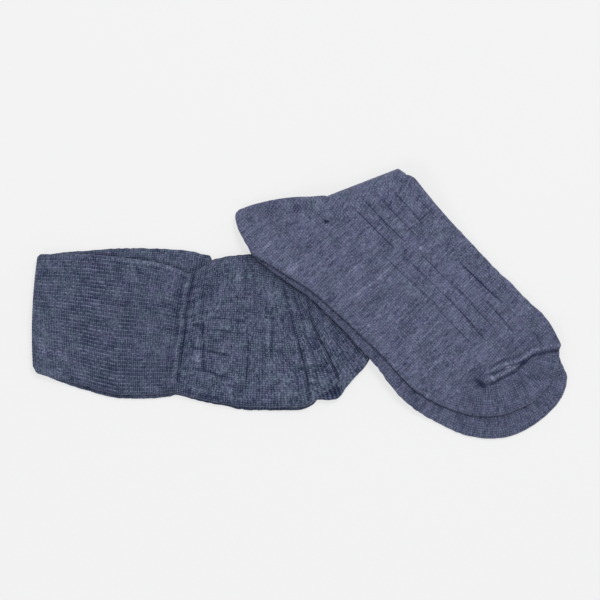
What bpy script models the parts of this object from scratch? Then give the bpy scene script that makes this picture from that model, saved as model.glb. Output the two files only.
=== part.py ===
"""A pair of long knitted socks, folded once together at the ankle and laid flat.

Each sock is one flattened tube: cuff, leg, a bend, the fold at the ankle, heel, foot and toe.
The leg and the foot of a sock are two runs of sections joined at the ankle; the hollow inside
follows both and opens at the cuff. Plan positions are in millimetres from the middle of the
object, x along the leg from cuff to toe, y towards the heel side.
"""

import math
from collections import namedtuple

import bmesh
import bpy
import numpy as np

MM = 0.001

# Cloth
WALL = 1.35  # one knitted wall
FLAT = 3.2  # a sock laid flat: two walls and the slit between them
CUFF_FLAT = 3.6  # the ribbed cuff is thicker
EDGE = 1.6  # sideways reach of a rounded side edge
VOID_INSET = 2.4  # from a side edge to the slit inside
VOID_POINT = 0.8  # the slit closes to a point over this length
EDGE_LEAN = math.radians(45.0)  # where a rounded edge has its middle stations
SEAT = 0.3  # space between the two socks' legs
FOOT_SEAT = 0.6  # space between the two socks' feet

# The stack at the ankle, heights above the table
INNER_LEG = FLAT + SEAT  # underside of the leg that lies on the other
STACK = 8.0  # underside of the feet where both legs are below them
INNER_AXIS_Z = (INNER_LEG + STACK + FLAT) / 2
INNER_ROLL = (STACK - INNER_LEG) / 2  # radius of the fold to the middle of the flat tube
OUTER_FOOT = FLAT + FOOT_SEAT  # underside of the upper foot above the lower foot's underside
OUTER_AXIS_Z = (STACK + OUTER_FOOT + FLAT) / 2
OUTER_ROLL = (STACK + OUTER_FOOT) / 2

# Ribs
CUFF_RIBS = 38  # fine ribs across the cuff's face
CUFF_RIB_DEPTH = 0.35
GROOVE_DEPTH = 0.45
GROOVE_HALF = 1.0  # half the width of a groove between wide ribs
RIB_MARGIN = 5.0  # plain cloth beside the first groove
LEG_GROOVES = (0.105, 0.235, 0.365, 0.495, 0.63, 0.765, 0.895)  # shares of the leg's width
INSTEP_GROOVES = (64.0, 74.0, 83.5, 92.3, 100.5, 109.0)  # distances across the foot, mm
INSTEP_RIB_END = 95.0  # the ribs fade out here along the foot, on the course through w 54
INSTEP_RIB_FADE = 20.0
COURSE_SLANT = 0.377  # a course near the toe gains this much u for each mm of w

# The bend of the leg: creases fan out from this point, at these angles in degrees
PIVOT = (-13.0, 29.0)
STEP_ONE = -78.2  # the leg's last layer edge
CREASE = -72.4
STEP_TWO = -64.0  # the next layer edge
STEP_RISE = 1.6  # height of one layer edge
STEP_TWO_CORNER = (14.0, -66.0, 26.0, -56.0)  # where the second layer ends short of the outline
STEP_TWO_FALL = 2.0
CREASE_DEPTH = 0.5
CREASE_HALF = 2.0
STEP_FADE = (8.0, 45.0)  # no step this near the pivot, and the whole step this much further out
RISE_RUN = 42.0  # the leg's rise towards its layer edge starts this far from it

# The cuff's end: x at two heights y, and the ridge and groove of the join
CUFF_END_Y = (-62.0, 21.0)
CUFF_END_X = (-88.8, -76.5)
CUFF_END_RUN = 4.0
JOIN_RIDGE = (-4.5, 2.5, 0.55)  # offset from the cuff's end, half width, height
JOIN_GROOVE = (0.6, 1.6, 0.85)  # offset, half width, depth

# Sections of a leg: the near edge, the far edge, and the section's bow towards the cuff
LegRow = namedtuple("LegRow", ("near_x", "near_y", "far_x", "far_y", "bow"))
INNER_CUFF = (
    (-184.0, 30.5, -186.2, -44.0, 2.2),
    (-182.0, 33.8, -184.2, -48.2, 2.8),
    (-177.0, 34.9, -179.0, -50.2, 2.8),
    (-165.0, 35.2, -166.0, -53.2, 2.5),
    (-150.0, 34.9, -151.0, -57.2, 2.2),
    (-135.0, 33.6, -138.0, -61.2, 2.0),
    (-120.0, 32.0, -125.0, -63.6, 2.0),
    (-105.0, 30.0, -112.0, -63.9, 2.0),
    (-92.0, 27.0, -100.0, -63.2, 2.0),
    (-83.0, 23.6, -93.5, -62.4, 2.0),
    (-78.0, 21.4, -90.0, -62.2, 2.0),
)
INNER_LEG_ROWS = (
    (-75.0, 21.4, -87.6, -62.4, 2.0),
    (-72.0, 23.4, -84.6, -62.9, 1.6),
    (-67.0, 27.2, -79.0, -64.3, 1.0),
    (-61.0, 30.8, -72.0, -66.2, 0.0),
    (-53.0, 33.0, -62.0, -68.3, 0.0),
    (-44.0, 34.2, -52.0, -70.1, 0.0),
    (-35.0, 34.8, -42.0, -71.6, 0.0),
    (-28.0, 34.0, -31.0, -72.2, 0.0),
    (-22.0, 32.7, -19.0, -72.2, 0.0),
    (-18.0, 31.5, -8.5, -72.2, 0.0),
    (-15.2, 30.4, 0.0, -72.0, 0.0),
    (-14.0, 29.6, 4.6, -71.0, 0.0),
    (-13.4, 29.0, 7.4, -69.2, 0.0),
    (-13.2, 28.7, 8.6, -68.0, 0.0),
    (-12.9, 28.3, 11.4, -67.2, 0.0),
    (-12.6, 28.0, 15.5, -67.0, 0.0),
    (-12.4, 27.8, 20.0, -67.2, 0.0),
    (-12.2, 27.7, 24.2, -67.0, 0.0),
    (-12.0, 27.6, 28.2, -64.6, 0.0),
    (-11.9, 27.6, 30.3, -61.6, 0.0),
    (-11.8, 27.6, 31.0, -60.3, 0.0),
    (-11.6, 27.7, 36.0, -54.5, 0.0),
    (-11.3, 27.8, 41.0, -49.0, 0.0),
    (-11.0, 28.1, 46.5, -42.6, 0.0),
    (-10.2, 28.8, 53.5, -30.0, 0.0),
    (-8.8, 30.4, 59.0, -12.0, 0.0),
    (-5.4, 34.6, 62.0, 8.0, 0.0),
    (0.0, 42.0, 64.0, 30.0, 0.0),
    (8.0, 52.0, 66.0, 52.0, 0.0),
    (16.0, 61.0, 67.5, 70.0, 0.0),
    (22.4, 67.6, 68.6, 82.6, 0.0),
)
INNER_AXIS = (24.0, 69.5, 69.0, 86.9)
OUTER_CUFF = (
    (-182.5, 29.5, -185.0, -42.5, 2.0),
    (-180.5, 33.0, -183.0, -47.3, 2.4),
    (-175.0, 34.9, -177.0, -50.9, 2.4),
    (-160.0, 36.7, -161.0, -57.0, 2.2),
    (-144.0, 37.9, -146.0, -61.7, 2.0),
    (-128.0, 39.0, -132.0, -65.4, 2.0),
    (-112.0, 39.2, -118.0, -66.5, 2.0),
    (-97.0, 38.8, -104.0, -66.4, 2.0),
    (-82.0, 37.8, -92.0, -64.9, 1.5),
    (-75.0, 36.7, -87.0, -63.9, 1.0),
    (-69.0, 35.1, -82.0, -64.6, 0.5),
    (-63.4, 34.2, -76.0, -66.5, 0.0),
)
OUTER_LEG_ROWS = (
    (-60.6, 29.6, -70.0, -68.2, 0.0),
    (-53.0, 31.2, -62.0, -69.8, 0.0),
    (-44.0, 32.6, -52.0, -71.4, 0.0),
    (-35.0, 33.2, -42.0, -73.8, 0.0),
    (-27.0, 32.4, -31.0, -74.6, 0.0),
    (-21.0, 31.5, -18.0, -74.4, 0.0),
    (-17.0, 30.6, -6.0, -74.6, 0.0),
    (-14.8, 29.8, 1.0, -74.2, 0.0),
    (-14.0, 29.0, 5.0, -71.8, 0.0),
    (-13.6, 28.4, 9.0, -68.6, 0.0),
    (-13.3, 28.0, 14.0, -66.2, 0.0),
    (-12.9, 27.6, 20.0, -65.6, 0.0),
    (-12.5, 27.3, 26.0, -62.4, 0.0),
    (-12.1, 27.1, 32.0, -55.5, 0.0),
    (-11.7, 27.1, 38.5, -48.0, 0.0),
    (-11.2, 27.3, 44.5, -40.5, 0.0),
    (-10.4, 27.9, 54.0, -25.0, 0.0),
    (-9.0, 29.4, 61.0, -8.0, 0.0),
    (-6.0, 33.2, 65.0, 12.0, 0.0),
    (-1.0, 40.2, 68.0, 34.0, 0.0),
    (5.8, 49.0, 70.5, 56.0, 0.0),
    (12.8, 58.2, 72.5, 74.0, 0.0),
    (18.8, 65.9, 73.8, 84.6, 0.0),
)
OUTER_AXIS = (20.7, 68.3, 74.6, 89.1)
ROLL_DEGREES = (0.0, 22.0, 45.0, 68.0, 90.0, 112.0, 135.0, 158.0, 180.0)
FOLD_END_RUN = 6.0  # the fold's ends are rounded over this length
FOLD_END_PULL = (0.15, 0.40)  # share of the reach they lose, near end and far end
TAIL_PAST = (2.5, 7.0)  # the leg ends inside the foot, this far past the fold
TAIL_THIN = 0.35  # and this much thinner on each side
TAIL_INSET = 3.0
TAIL_SLIT_SHARE = 0.8
TAIL_BACK = 1.2  # the slit ends this far short of the leg
MOUTH_CUT = 3.0  # the slit's cutter runs this far out of the mouth
RIB_END = 0.8  # the fine ribs fade out over this length
EDGE_SHARE = 0.3  # most of a narrow section that one rounded edge takes

# Stations across a wall
CUFF_LOW = 8
LEG_PLAIN = 9
LEG_LOW = 6
ROLL_STATIONS = 7
SLIT_STATIONS = 6
FOOT_SLIT_STATIONS = 10

# Sections of a foot, in its own axes: u runs from heel to toe, w from sole to instep.
# The toe's sections slant with its courses, as the seam across it does.
FOOT_DEGREES = -45.0
FootRow = namedtuple("FootRow", ("sole_u", "sole_w", "upper_u", "upper_w"))
OUTER_FOOT_ROWS = (
    (-76.9, 13.4, -76.9, 16.6),
    (-75.4, 11.2, -75.4, 20.0),
    (-72.5, 9.2, -72.5, 26.0),
    (-68.0, 6.6, -68.0, 33.6),
    (-62.0, 4.5, -62.0, 42.3),
    (-55.0, 2.7, -55.0, 51.0),
    (-48.0, 1.2, -48.0, 58.4),
    (-41.0, 2.8, -41.0, 65.6),
    (-37.6, 3.7, -37.6, 66.2),
    (-34.4, 4.6, -34.4, 66.0),
    (-31.0, 5.4, -31.0, 71.4),
    (-26.0, 6.4, -26.0, 82.6),
    (-20.0, 7.8, -20.0, 96.2),
    (-14.5, 9.2, -14.5, 108.6),
    (-10.5, 10.2, -10.5, 117.0),
    (-5.0, 11.5, -5.0, 118.8),
    (3.0, 12.6, 3.0, 117.9),
    (11.0, 13.2, 11.0, 117.2),
    (19.0, 13.6, 19.0, 116.5),
    (27.0, 14.0, 27.0, 116.0),
    (35.0, 14.4, 35.0, 115.7),
    (43.0, 14.8, 43.0, 115.4),
    (51.0, 15.1, 51.0, 115.3),
    (59.0, 15.2, 59.0, 115.0),
    (67.0, 15.1, 67.0, 114.7),
    (74.0, 14.7, 75.0, 114.6),
    (80.0, 14.3, 84.0, 114.6),
    (85.0, 14.1, 93.5, 115.1),
    (89.5, 14.0, 103.0, 114.9),
    (94.0, 14.0, 112.5, 114.7),
    (98.5, 14.1, 121.5, 115.3),
    (103.0, 14.9, 130.0, 114.6),
    (108.0, 16.0, 143.2, 111.2),
    (111.2, 16.8, 146.6, 110.2),
    (113.5, 17.6, 148.5, 109.6),
    (115.3, 18.2, 149.9, 108.6),
    (117.2, 18.8, 150.7, 107.2),
    (118.9, 19.4, 151.6, 105.6),
    (120.8, 20.0, 152.6, 104.4),
    (123.2, 21.2, 154.2, 102.6),
    (128.6, 23.6, 157.4, 98.9),
    (134.3, 26.6, 160.0, 95.0),
    (139.8, 29.7, 162.1, 89.5),
    (145.4, 34.0, 163.6, 82.0),
    (151.8, 40.8, 164.2, 72.4),
    (157.6, 49.0, 163.8, 65.4),
)
INNER_FOOT_ROWS = (
    (-73.8, 13.6, -73.8, 16.4),
    (-72.0, 11.0, -72.0, 20.6),
    (-68.0, 8.4, -68.0, 28.0),
    (-62.0, 5.4, -62.0, 36.6),
    (-55.0, 2.8, -55.0, 44.0),
    (-48.0, 0.6, -48.0, 50.0),
    (-41.0, 1.0, -41.0, 55.0),
    (-36.0, 1.6, -36.0, 58.4),
    (-32.6, 2.0, -32.6, 62.0),
    (-30.8, 2.2, -30.8, 68.4),
    (-26.0, 2.9, -26.0, 79.2),
    (-20.0, 4.0, -20.0, 92.6),
    (-14.8, 4.9, -14.8, 104.4),
    (-8.0, 6.3, -8.0, 107.6),
    (1.0, 7.9, 1.0, 108.0),
    (10.0, 8.3, 10.0, 107.4),
    (19.0, 8.5, 19.0, 106.8),
    (28.0, 8.5, 28.0, 106.4),
    (37.0, 8.3, 37.0, 106.2),
    (46.0, 8.1, 46.0, 106.0),
    (50.5, 7.9, 50.5, 106.0),
    (55.0, 7.8, 55.0, 106.0),
    (59.5, 7.5, 59.5, 106.0),
    (64.0, 7.2, 64.0, 106.0),
    (68.5, 6.8, 68.5, 106.0),
    (73.0, 6.3, 73.0, 106.0),
    (77.5, 5.5, 77.5, 106.0),
    (82.0, 4.7, 82.0, 106.0),
    (86.5, 4.3, 86.5, 106.0),
    (91.0, 3.9, 91.0, 106.0),
    (95.5, 3.8, 95.5, 106.0),
    (100.0, 3.7, 100.0, 106.0),
    (109.0, 4.7, 109.0, 106.0),
    (118.0, 6.6, 118.0, 106.0),
    (127.0, 9.3, 127.0, 105.6),
    (136.0, 12.2, 136.0, 104.8),
    (144.0, 15.2, 144.0, 103.8),
    (151.0, 19.4, 151.0, 102.6),
    (158.0, 24.6, 158.0, 101.0),
    (164.0, 30.6, 164.0, 98.4),
    (169.0, 37.4, 169.0, 95.4),
    (173.0, 45.4, 173.0, 90.6),
    (176.0, 56.4, 176.0, 83.2),
    (177.4, 66.0, 177.4, 76.6),
)

# Where the legs lie below the feet
INNER_BORDER = ((-12.0, 29.0), (20.7, 68.3))  # the legs' left side, past the bend
LEG_TOP = 35.0  # the legs' upper side, before the bend
OUTER_BORDER = (  # the legs' right side: y, x
    (-42.0, 47.0),
    (-25.0, 54.5),
    (-8.0, 61.5),
    (12.0, 65.5),
    (34.0, 68.5),
    (56.0, 71.0),
    (88.0, 75.5),
)
CLEAR = 3.0  # the feet stay up this far outside the legs
HEEL_FALL = 32.0  # and are down on the table this far outside, at the heel
TOE_FALL = 58.0  # and this far at the toe

# The upper foot's instep edge hangs over the lower foot's
DROOP = 2.5
DROOP_START = 108.6
DROOP_RUN = 7.0
DROOP_FROM = (-2.0, 140.0)  # where along the foot it hangs
DROOP_FADE = 20.0

# Raised seam across the toe, in the foot's axes: from its puckered end to the instep edge
TOE_SEAM = ((130.6, 54.0), (150.6, 107.0))
TOE_SEAM_HALF = 4.2
TOE_SEAM_RISE = 0.75
TOE_SEAM_FADE = 5.0
TOE_GROOVE_HALF = 1.4
TOE_GROOVE_SHARE = 0.75  # the groove between the seam's two ridges, as a share of their height
TOE_HOLLOW = (122.0, 49.0)  # pucker beside the seam's end
TOE_HOLLOW_RADIUS = 8.0
TOE_HOLLOW_DEPTH = 0.8

LEG_UPPER_Y = 32.0
LEG_LOWER_Y = -72.0
# Soft folds across the leg: x at the upper side, x at the lower side, half width, depth
LEG_FOLDS = (
    (-66.5, -68.0, 2.6, 0.55),
    (-55.0, -57.0, 3.0, 0.25),
    (-36.0, -38.0, 3.0, 0.50),
    (-20.5, -20.0, 3.4, 0.30),
)
# Soft swells along the foot: u, w, reach along u, reach along w, height
FOOT_SWELLS = (
    (-40.0, 34.0, 22.0, 18.0, 0.5),
    (30.0, 50.0, 26.0, 22.0, 0.6),
    (62.0, 84.0, 22.0, 20.0, 0.4),
    (100.0, 48.0, 24.0, 20.0, 0.4),
)

BLUE_HEATHER = (0.098, 0.109, 0.176, 1.0)
BLUE_HEATHER_SHADED = (0.080, 0.092, 0.146, 1.0)
SOLE_STATIONS = 8  # stations on the plain half of the upper foot
STATION_ROOM = 0.3  # stations past the edge close up against it, this far apart
PLAIN = 12  # stations across a plain foot wall


def smooth(t):
    """0 below 0, 1 above 1, and a soft step between."""
    t = np.clip(t, 0.0, 1.0)
    return t * t * (3.0 - 2.0 * t)


def bell(distance, half):
    return np.exp(-((distance / half) ** 2))


def foot_to_plan(u, w):
    turn = math.radians(FOOT_DEGREES)
    along = np.array((math.cos(turn), math.sin(turn)))
    across = np.array((-math.sin(turn), math.cos(turn)))
    u, w = np.asarray(u, float), np.asarray(w, float)
    return u[..., None] * along + w[..., None] * across


def plan_to_foot(x, y):
    turn = math.radians(FOOT_DEGREES)
    u = x * math.cos(turn) + y * math.sin(turn)
    return u, -x * math.sin(turn) + y * math.cos(turn)


def support(x, y):
    """Height that the legs below lift the lower foot's underside to."""
    (ax, ay), (bx, by) = INNER_BORDER
    length = math.hypot(bx - ax, by - ay)
    past_inner = ((x - ax) * (by - ay) - (y - ay) * (bx - ax)) / length
    border = np.array(OUTER_BORDER)
    past_outer = np.interp(y, border[:, 0], border[:, 1]) - x
    heel_run = HEEL_FALL - CLEAR
    over_leg = smooth((LEG_TOP - y + HEEL_FALL) / heel_run)
    over_bend = smooth((past_inner + HEEL_FALL) / heel_run)
    before_toe = smooth((past_outer + TOE_FALL) / (TOE_FALL - CLEAR))
    return STACK * np.maximum(over_leg, over_bend) * before_toe


def bend_rise(x, y):
    """Rise of the leg's top at the bend: two layer edges that fan out from the pivot."""
    away_x, away_y = x - PIVOT[0], y - PIVOT[1]
    reach = np.hypot(away_x, away_y)
    angle = np.degrees(np.arctan2(away_y, away_x))
    angle = np.where(angle > 90.0, angle - 360.0, angle)
    fade = smooth((reach - STEP_FADE[0]) / STEP_FADE[1])
    before = np.radians(STEP_ONE - angle) * reach
    ramp = 1.0 - smooth(before / RISE_RUN)
    first = np.where(before >= 0.0, ramp, 0.0)
    from_x, from_y, to_x, to_y = STEP_TWO_CORNER
    corner_y = from_y + (x - from_x) * (to_y - from_y) / (to_x - from_x)
    corner = smooth((y - corner_y) / STEP_TWO_FALL + 0.5)
    second = np.where(angle <= STEP_TWO, np.where(before >= 0.0, ramp, corner), 0.0)
    crease = CREASE_DEPTH * bell(np.radians(angle - CREASE) * reach, CREASE_HALF)
    return fade * (STEP_RISE * (first + second) - crease)


def leg_folds(x, y):
    """Depth of the soft folds that cross the leg."""
    share = np.clip((LEG_UPPER_Y - y) / (LEG_UPPER_Y - LEG_LOWER_Y), 0.0, 1.0)
    depth = np.zeros_like(x)
    for upper_x, lower_x, half, deep in LEG_FOLDS:
        depth = depth + deep * bell(x - upper_x - (lower_x - upper_x) * share, half)
    return depth


def inner_leg_top(x, y):
    past = x - np.interp(y, CUFF_END_Y, CUFF_END_X)
    cuff = 1.0 - smooth(past / CUFF_END_RUN)
    ridge = JOIN_RIDGE[2] * bell(past - JOIN_RIDGE[0], JOIN_RIDGE[1])
    groove = JOIN_GROOVE[2] * bell(past - JOIN_GROOVE[0], JOIN_GROOVE[1])
    thick = FLAT + (CUFF_FLAT - FLAT) * cuff + ridge - groove
    return INNER_LEG + thick - leg_folds(x, y) + bend_rise(x, y)


def seam_rise(u, w):
    """Height of the toe seam's double ridge, less the hollow at its puckered end."""
    (au, aw), (bu, bw) = TOE_SEAM
    length = math.hypot(bu - au, bw - aw)
    along = ((u - au) * (bu - au) + (w - aw) * (bw - aw)) / length
    off = ((u - au) * (bw - aw) - (w - aw) * (bu - au)) / length
    ends = smooth(along / TOE_SEAM_FADE + 0.5) * smooth((length - along) / TOE_SEAM_FADE + 0.5)
    ridge = np.exp(-((off / TOE_SEAM_HALF) ** 4)) - TOE_GROOVE_SHARE * bell(off, TOE_GROOVE_HALF)
    hollow = bell(np.hypot(u - TOE_HOLLOW[0], w - TOE_HOLLOW[1]), TOE_HOLLOW_RADIUS)
    return TOE_SEAM_RISE * ends * ridge - TOE_HOLLOW_DEPTH * hollow


def foot_swell(u, w):
    rise = np.zeros_like(u)
    for at_u, at_w, reach_u, reach_w, height in FOOT_SWELLS:
        rise = rise + height * bell(u - at_u, reach_u) * bell(w - at_w, reach_w)
    return rise


def outer_foot_bottom(x, y):
    u, w = plan_to_foot(x, y)
    heel_end, toe_end = DROOP_FROM
    hang = smooth((u - heel_end) / DROOP_FADE) * smooth((toe_end - u) / DROOP_FADE)
    return support(x, y) + OUTER_FOOT - DROOP * hang * smooth((w - DROOP_START) / DROOP_RUN)


def outer_foot_top(x, y):
    u, w = plan_to_foot(x, y)
    return outer_foot_bottom(x, y) + FLAT + foot_swell(u, w) + seam_rise(u, w)


def level(height):
    return lambda x, y: np.full_like(x, height)


INNER_LEG_FORM = (level(INNER_LEG), inner_leg_top)
OUTER_LEG_FORM = (level(0.0), level(FLAT))
INNER_FOOT_FORM = (support, lambda x, y: support(x, y) + FLAT)
OUTER_FOOT_FORM = (outer_foot_bottom, outer_foot_top)


def even(count):
    """Evenly spaced stations across a wall, with no cut."""
    return np.linspace(0.0, 1.0, count), np.zeros(count)


def fine_ribs():
    """Stations on every crest and in every groove of the cuff's fine rib."""
    count = 2 * CUFF_RIBS + 1
    return np.linspace(0.0, 1.0, count), CUFF_RIB_DEPTH * (np.arange(count) % 2)


def wide_ribs(width):
    """Stations at the leg's grooves, their sides, and the middles of the ribs between."""
    shares, cuts = [0.0], [0.0]
    half = GROOVE_HALF / width
    for before, groove in zip((0.0,) + LEG_GROOVES, LEG_GROOVES):
        shares += [(before + groove) / 2, groove - half, groove, groove + half]
        cuts += [0.0, 0.0, GROOVE_DEPTH, 0.0]
    shares += [(LEG_GROOVES[-1] + 1.0) / 2, 1.0]
    return np.array(shares), np.array(cuts + [0.0, 0.0])


def instep_ribs(row):
    """Stations across the upper foot: even on the sole's half, then the instep's grooves."""
    sole_u, sole_w, upper_u, upper_w = row
    low, high = sole_w + EDGE, upper_w - EDGE
    targets = list(np.linspace(low, INSTEP_GROOVES[0] - RIB_MARGIN, SOLE_STATIONS))
    cuts = [0.0] * len(targets)
    course = (sole_u + upper_u) / 2 - COURSE_SLANT * ((sole_w + upper_w) / 2 - TOE_SEAM[0][1])
    depth = GROOVE_DEPTH * float(smooth((INSTEP_RIB_END - course) / INSTEP_RIB_FADE))
    for groove, after in zip(INSTEP_GROOVES, INSTEP_GROOVES[1:] + (INSTEP_GROOVES[-1],)):
        targets += [groove - GROOVE_HALF, groove, groove + GROOVE_HALF, (groove + after) / 2]
        cuts += [0.0, depth, 0.0, 0.0]
    targets[-1] = high
    last = len(targets) - 1
    room = STATION_ROOM * (last - np.arange(last + 1))
    placed = np.minimum(targets, high - room)
    if placed[0] < low or np.any(np.diff(placed) <= 0.0):
        placed = np.linspace(low, high, last + 1)
    whole = np.abs(placed - targets) < 1e-6
    return (placed - placed[0]) / (placed[-1] - placed[0]), np.where(whole, cuts, 0.0)


def rounded_chains(place, width, inset, stations, low_count):
    """Upper and lower chains of an outside section, with rounded side edges."""
    run = width - 2 * inset
    shares, cuts = stations
    upper = place(inset + run * shares, np.ones(len(shares)), cuts)
    lower = place(inset + run * np.linspace(0, 1, low_count), -np.ones(low_count), 0.0)
    ends = place(np.array((0.0, width)), np.zeros(2), 0.0)
    rim = inset * (1 - math.cos(EDGE_LEAN))
    chains = []
    for chain, sign in ((upper, 1), (lower, -1)):
        side = place(np.array((rim, width - rim)), np.full(2, sign * math.sin(EDGE_LEAN)), 0.0)
        chains.append(np.concatenate((ends[:1], side[:1], chain, side[1:], ends[1:])))
    return chains


def slit_chains(place, width, inset, count):
    """The same for the slit inside, which closes to a point at each side."""
    spread = inset + (width - 2 * inset) * np.linspace(0, 1, count)
    point = np.array((inset - VOID_POINT, width - inset + VOID_POINT))
    ends = place(point, np.zeros(2), 0.0)
    return [
        np.concatenate((ends[:1], place(spread, np.full(count, sign), 0.0), ends[1:]))
        for sign in (1.0, -1.0)
    ]


def flat_place(near, far, bow, form, wall=0.0):
    """Where a section's points lie: distance from its near edge, height from -1 to 1, and cut."""
    near, far = np.array(near, float), np.array(far, float)
    width = np.linalg.norm(far - near)
    across = (far - near) / width
    towards_cuff = np.array((across[1], -across[0]))
    bottom, top = form

    def place(distance, lift, cut):
        share = distance / width
        swing = (4 * bow * share * (1 - share))[:, None] * towards_cuff
        plan = near + distance[:, None] * across + swing
        x, y = plan[:, 0], plan[:, 1]
        low, high = bottom(x, y) + wall, top(x, y) - wall - cut
        return np.column_stack((x, y, (low + high) / 2 + lift * (high - low) / 2))

    return place, width


def rolled_place(axis, phi, radius, axis_z, half, past=0.0):
    """The same at an angle round the ankle fold, or past it inside the foot."""
    near, far = np.array(axis[:2], float), np.array(axis[2:4], float)
    width = np.linalg.norm(far - near)
    across = (far - near) / width
    outward = np.array((-across[1], across[0]))
    turn = math.radians(phi)

    def place(distance, lift, cut):
        reach = radius - lift * half + cut
        near_pull = FOLD_END_PULL[0] * (1.0 - smooth(distance / FOLD_END_RUN))
        far_pull = FOLD_END_PULL[1] * (1.0 - smooth((width - distance) / FOLD_END_RUN))
        sideways = reach * math.sin(turn) * (1.0 - near_pull - far_pull) - past
        plan = near + distance[:, None] * across + sideways[:, None] * outward
        return np.column_stack((plan, axis_z - reach * math.cos(turn)))

    return place, width


def shares_along(chain):
    steps = np.linalg.norm(np.diff(chain, axis=0), axis=1)
    return np.concatenate(((0.0,), np.cumsum(steps))) / steps.sum()


def stitch(first, second):
    """Triangles between two chains of points, each an (indices, shares) pair.

    Chains of one length are joined point to point, others by their shares of the width.
    """
    (a, share_a), (b, share_b) = first, second
    if len(a) == len(b):
        share_a = share_b = np.linspace(0.0, 1.0, len(a))
    i, j, faces = 0, 0, []
    while i < len(a) - 1 or j < len(b) - 1:
        step_a = j == len(b) - 1 or (i < len(a) - 1 and share_a[i + 1] <= share_b[j + 1] + 1e-9)
        if step_a:
            faces.append((a[i], b[j], a[i + 1]))
            i += 1
        else:
            faces.append((a[i], b[j], b[j + 1]))
            j += 1
    return faces


def tube(name, sections, collection):
    """A closed body through sections, each an upper and a lower chain with shared ends."""
    points, rows = [], []
    for upper, lower in sections:
        start = sum(len(p) for p in points)
        points += [upper, lower[1:-1]]
        over = np.arange(start, start + len(upper))
        under = np.arange(start + len(upper), start + len(upper) + len(lower) - 2)
        under = np.concatenate((over[:1], under, over[-1:]))
        rows.append(((over, shares_along(upper)), (under, shares_along(lower))))
    faces = []
    for (over, under), (next_over, next_under) in zip(rows, rows[1:]):
        faces += stitch(over, next_over)
        faces += [face[::-1] for face in stitch(under, next_under)]
    caps = (stitch(rows[0][1], rows[0][0]), stitch(rows[-1][0], rows[-1][1]))
    faces += [face for cap in caps for face in cap if len(set(map(int, face))) == 3]
    places = np.concatenate(points) * MM
    mesh = bpy.data.meshes.new(name)
    mesh.from_pydata(places.tolist(), [], [tuple(map(int, face)) for face in faces])
    body = bmesh.new()
    body.from_mesh(mesh)
    if body.calc_volume(signed=True) < 0:
        bmesh.ops.reverse_faces(body, faces=body.faces[:])
    body.to_mesh(mesh)
    body.free()
    mesh.polygons.foreach_set("use_smooth", [True] * len(mesh.polygons))
    made = bpy.data.objects.new(name, mesh)
    collection.objects.link(made)
    return made


def leg_sections(leg, ribbed):
    """Outside sections of a sock from its mouth to inside its foot."""
    made = []
    ribs, ribs_end = fine_ribs(), (fine_ribs()[0], 0.0 * fine_ribs()[1])
    last = leg.cuff[-1]
    past_ribs = last._replace(near_x=last.near_x + RIB_END, far_x=last.far_x + RIB_END)
    for row, stations in [(row, ribs) for row in leg.cuff] + [(past_ribs, ribs_end)]:
        place, width = flat_place(row[:2], row[2:4], row.bow, leg.form)
        made.append(rounded_chains(place, width, EDGE, stations, CUFF_LOW))
    for row in leg.rows:
        place, width = flat_place(row[:2], row[2:4], row.bow, leg.form)
        stations = wide_ribs(width) if ribbed else even(LEG_PLAIN)
        made.append(rounded_chains(place, width, EDGE, stations, LEG_LOW))
    for phi in ROLL_DEGREES:
        place, width = rolled_place(leg.axis, phi, leg.roll, leg.axis_z, FLAT / 2)
        made.append(rounded_chains(place, width, EDGE, even(ROLL_STATIONS), ROLL_STATIONS))
    for past in TAIL_PAST:
        half = FLAT / 2 - TAIL_THIN
        place, width = rolled_place(leg.axis, 180.0, leg.roll, leg.axis_z, half, past)
        made.append(rounded_chains(place, width, TAIL_INSET, even(ROLL_STATIONS), ROLL_STATIONS))
    return made


def leg_slit(leg):
    """The slit inside the same run, opening through the mouth."""
    mouth = leg.cuff[0]
    outside = mouth._replace(near_x=mouth.near_x - MOUTH_CUT, far_x=mouth.far_x - MOUTH_CUT)
    made = []
    for row in (outside,) + leg.cuff + leg.rows:
        place, width = flat_place(row[:2], row[2:4], row.bow, leg.form, WALL)
        made.append(slit_chains(place, width, VOID_INSET, SLIT_STATIONS))
    half = FLAT / 2 - WALL
    for phi in ROLL_DEGREES:
        place, width = rolled_place(leg.axis, phi, leg.roll, leg.axis_z, half)
        made.append(slit_chains(place, width, VOID_INSET, SLIT_STATIONS))
    for past in TAIL_PAST:
        thin = half * TAIL_SLIT_SHARE
        place, width = rolled_place(leg.axis, 180.0, leg.roll, leg.axis_z, thin, past - TAIL_BACK)
        made.append(slit_chains(place, width, TAIL_INSET + EDGE, SLIT_STATIONS))
    return made


def foot_sections(rows, form, ribbed):
    made = []
    for row in rows:
        place, width = flat_place(foot_to_plan(*row[:2]), foot_to_plan(*row[2:]), 0.0, form)
        inset = min(EDGE, EDGE_SHARE * float(width))
        stations = instep_ribs(row) if ribbed else even(PLAIN)
        made.append(rounded_chains(place, width, inset, stations, PLAIN))
    return made


def foot_slit(rows, form):
    """The slit inside a foot: it stops short of the heel and the toe."""
    made = []
    for row in rows[2:-2]:
        place, width = flat_place(foot_to_plan(*row[:2]), foot_to_plan(*row[2:]), 0.0, form, WALL)
        made.append(slit_chains(place, width, VOID_INSET, FOOT_SLIT_STATIONS))
    return made


def join(sock, others):
    """One body: the foot added to the leg, then the hollow taken out of both."""
    for operation, other in others:
        step = sock.modifiers.new(operation.title(), "BOOLEAN")
        step.operation = operation
        step.solver = "EXACT"
        step.object = other


def knit(name, colour):
    material = bpy.data.materials.new(name)
    material.use_nodes = True
    surface = material.node_tree.nodes["Principled BSDF"]
    surface.inputs["Base Color"].default_value = colour
    surface.inputs["Roughness"].default_value = 0.95
    surface.inputs["Metallic"].default_value = 0.0
    return material


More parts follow.
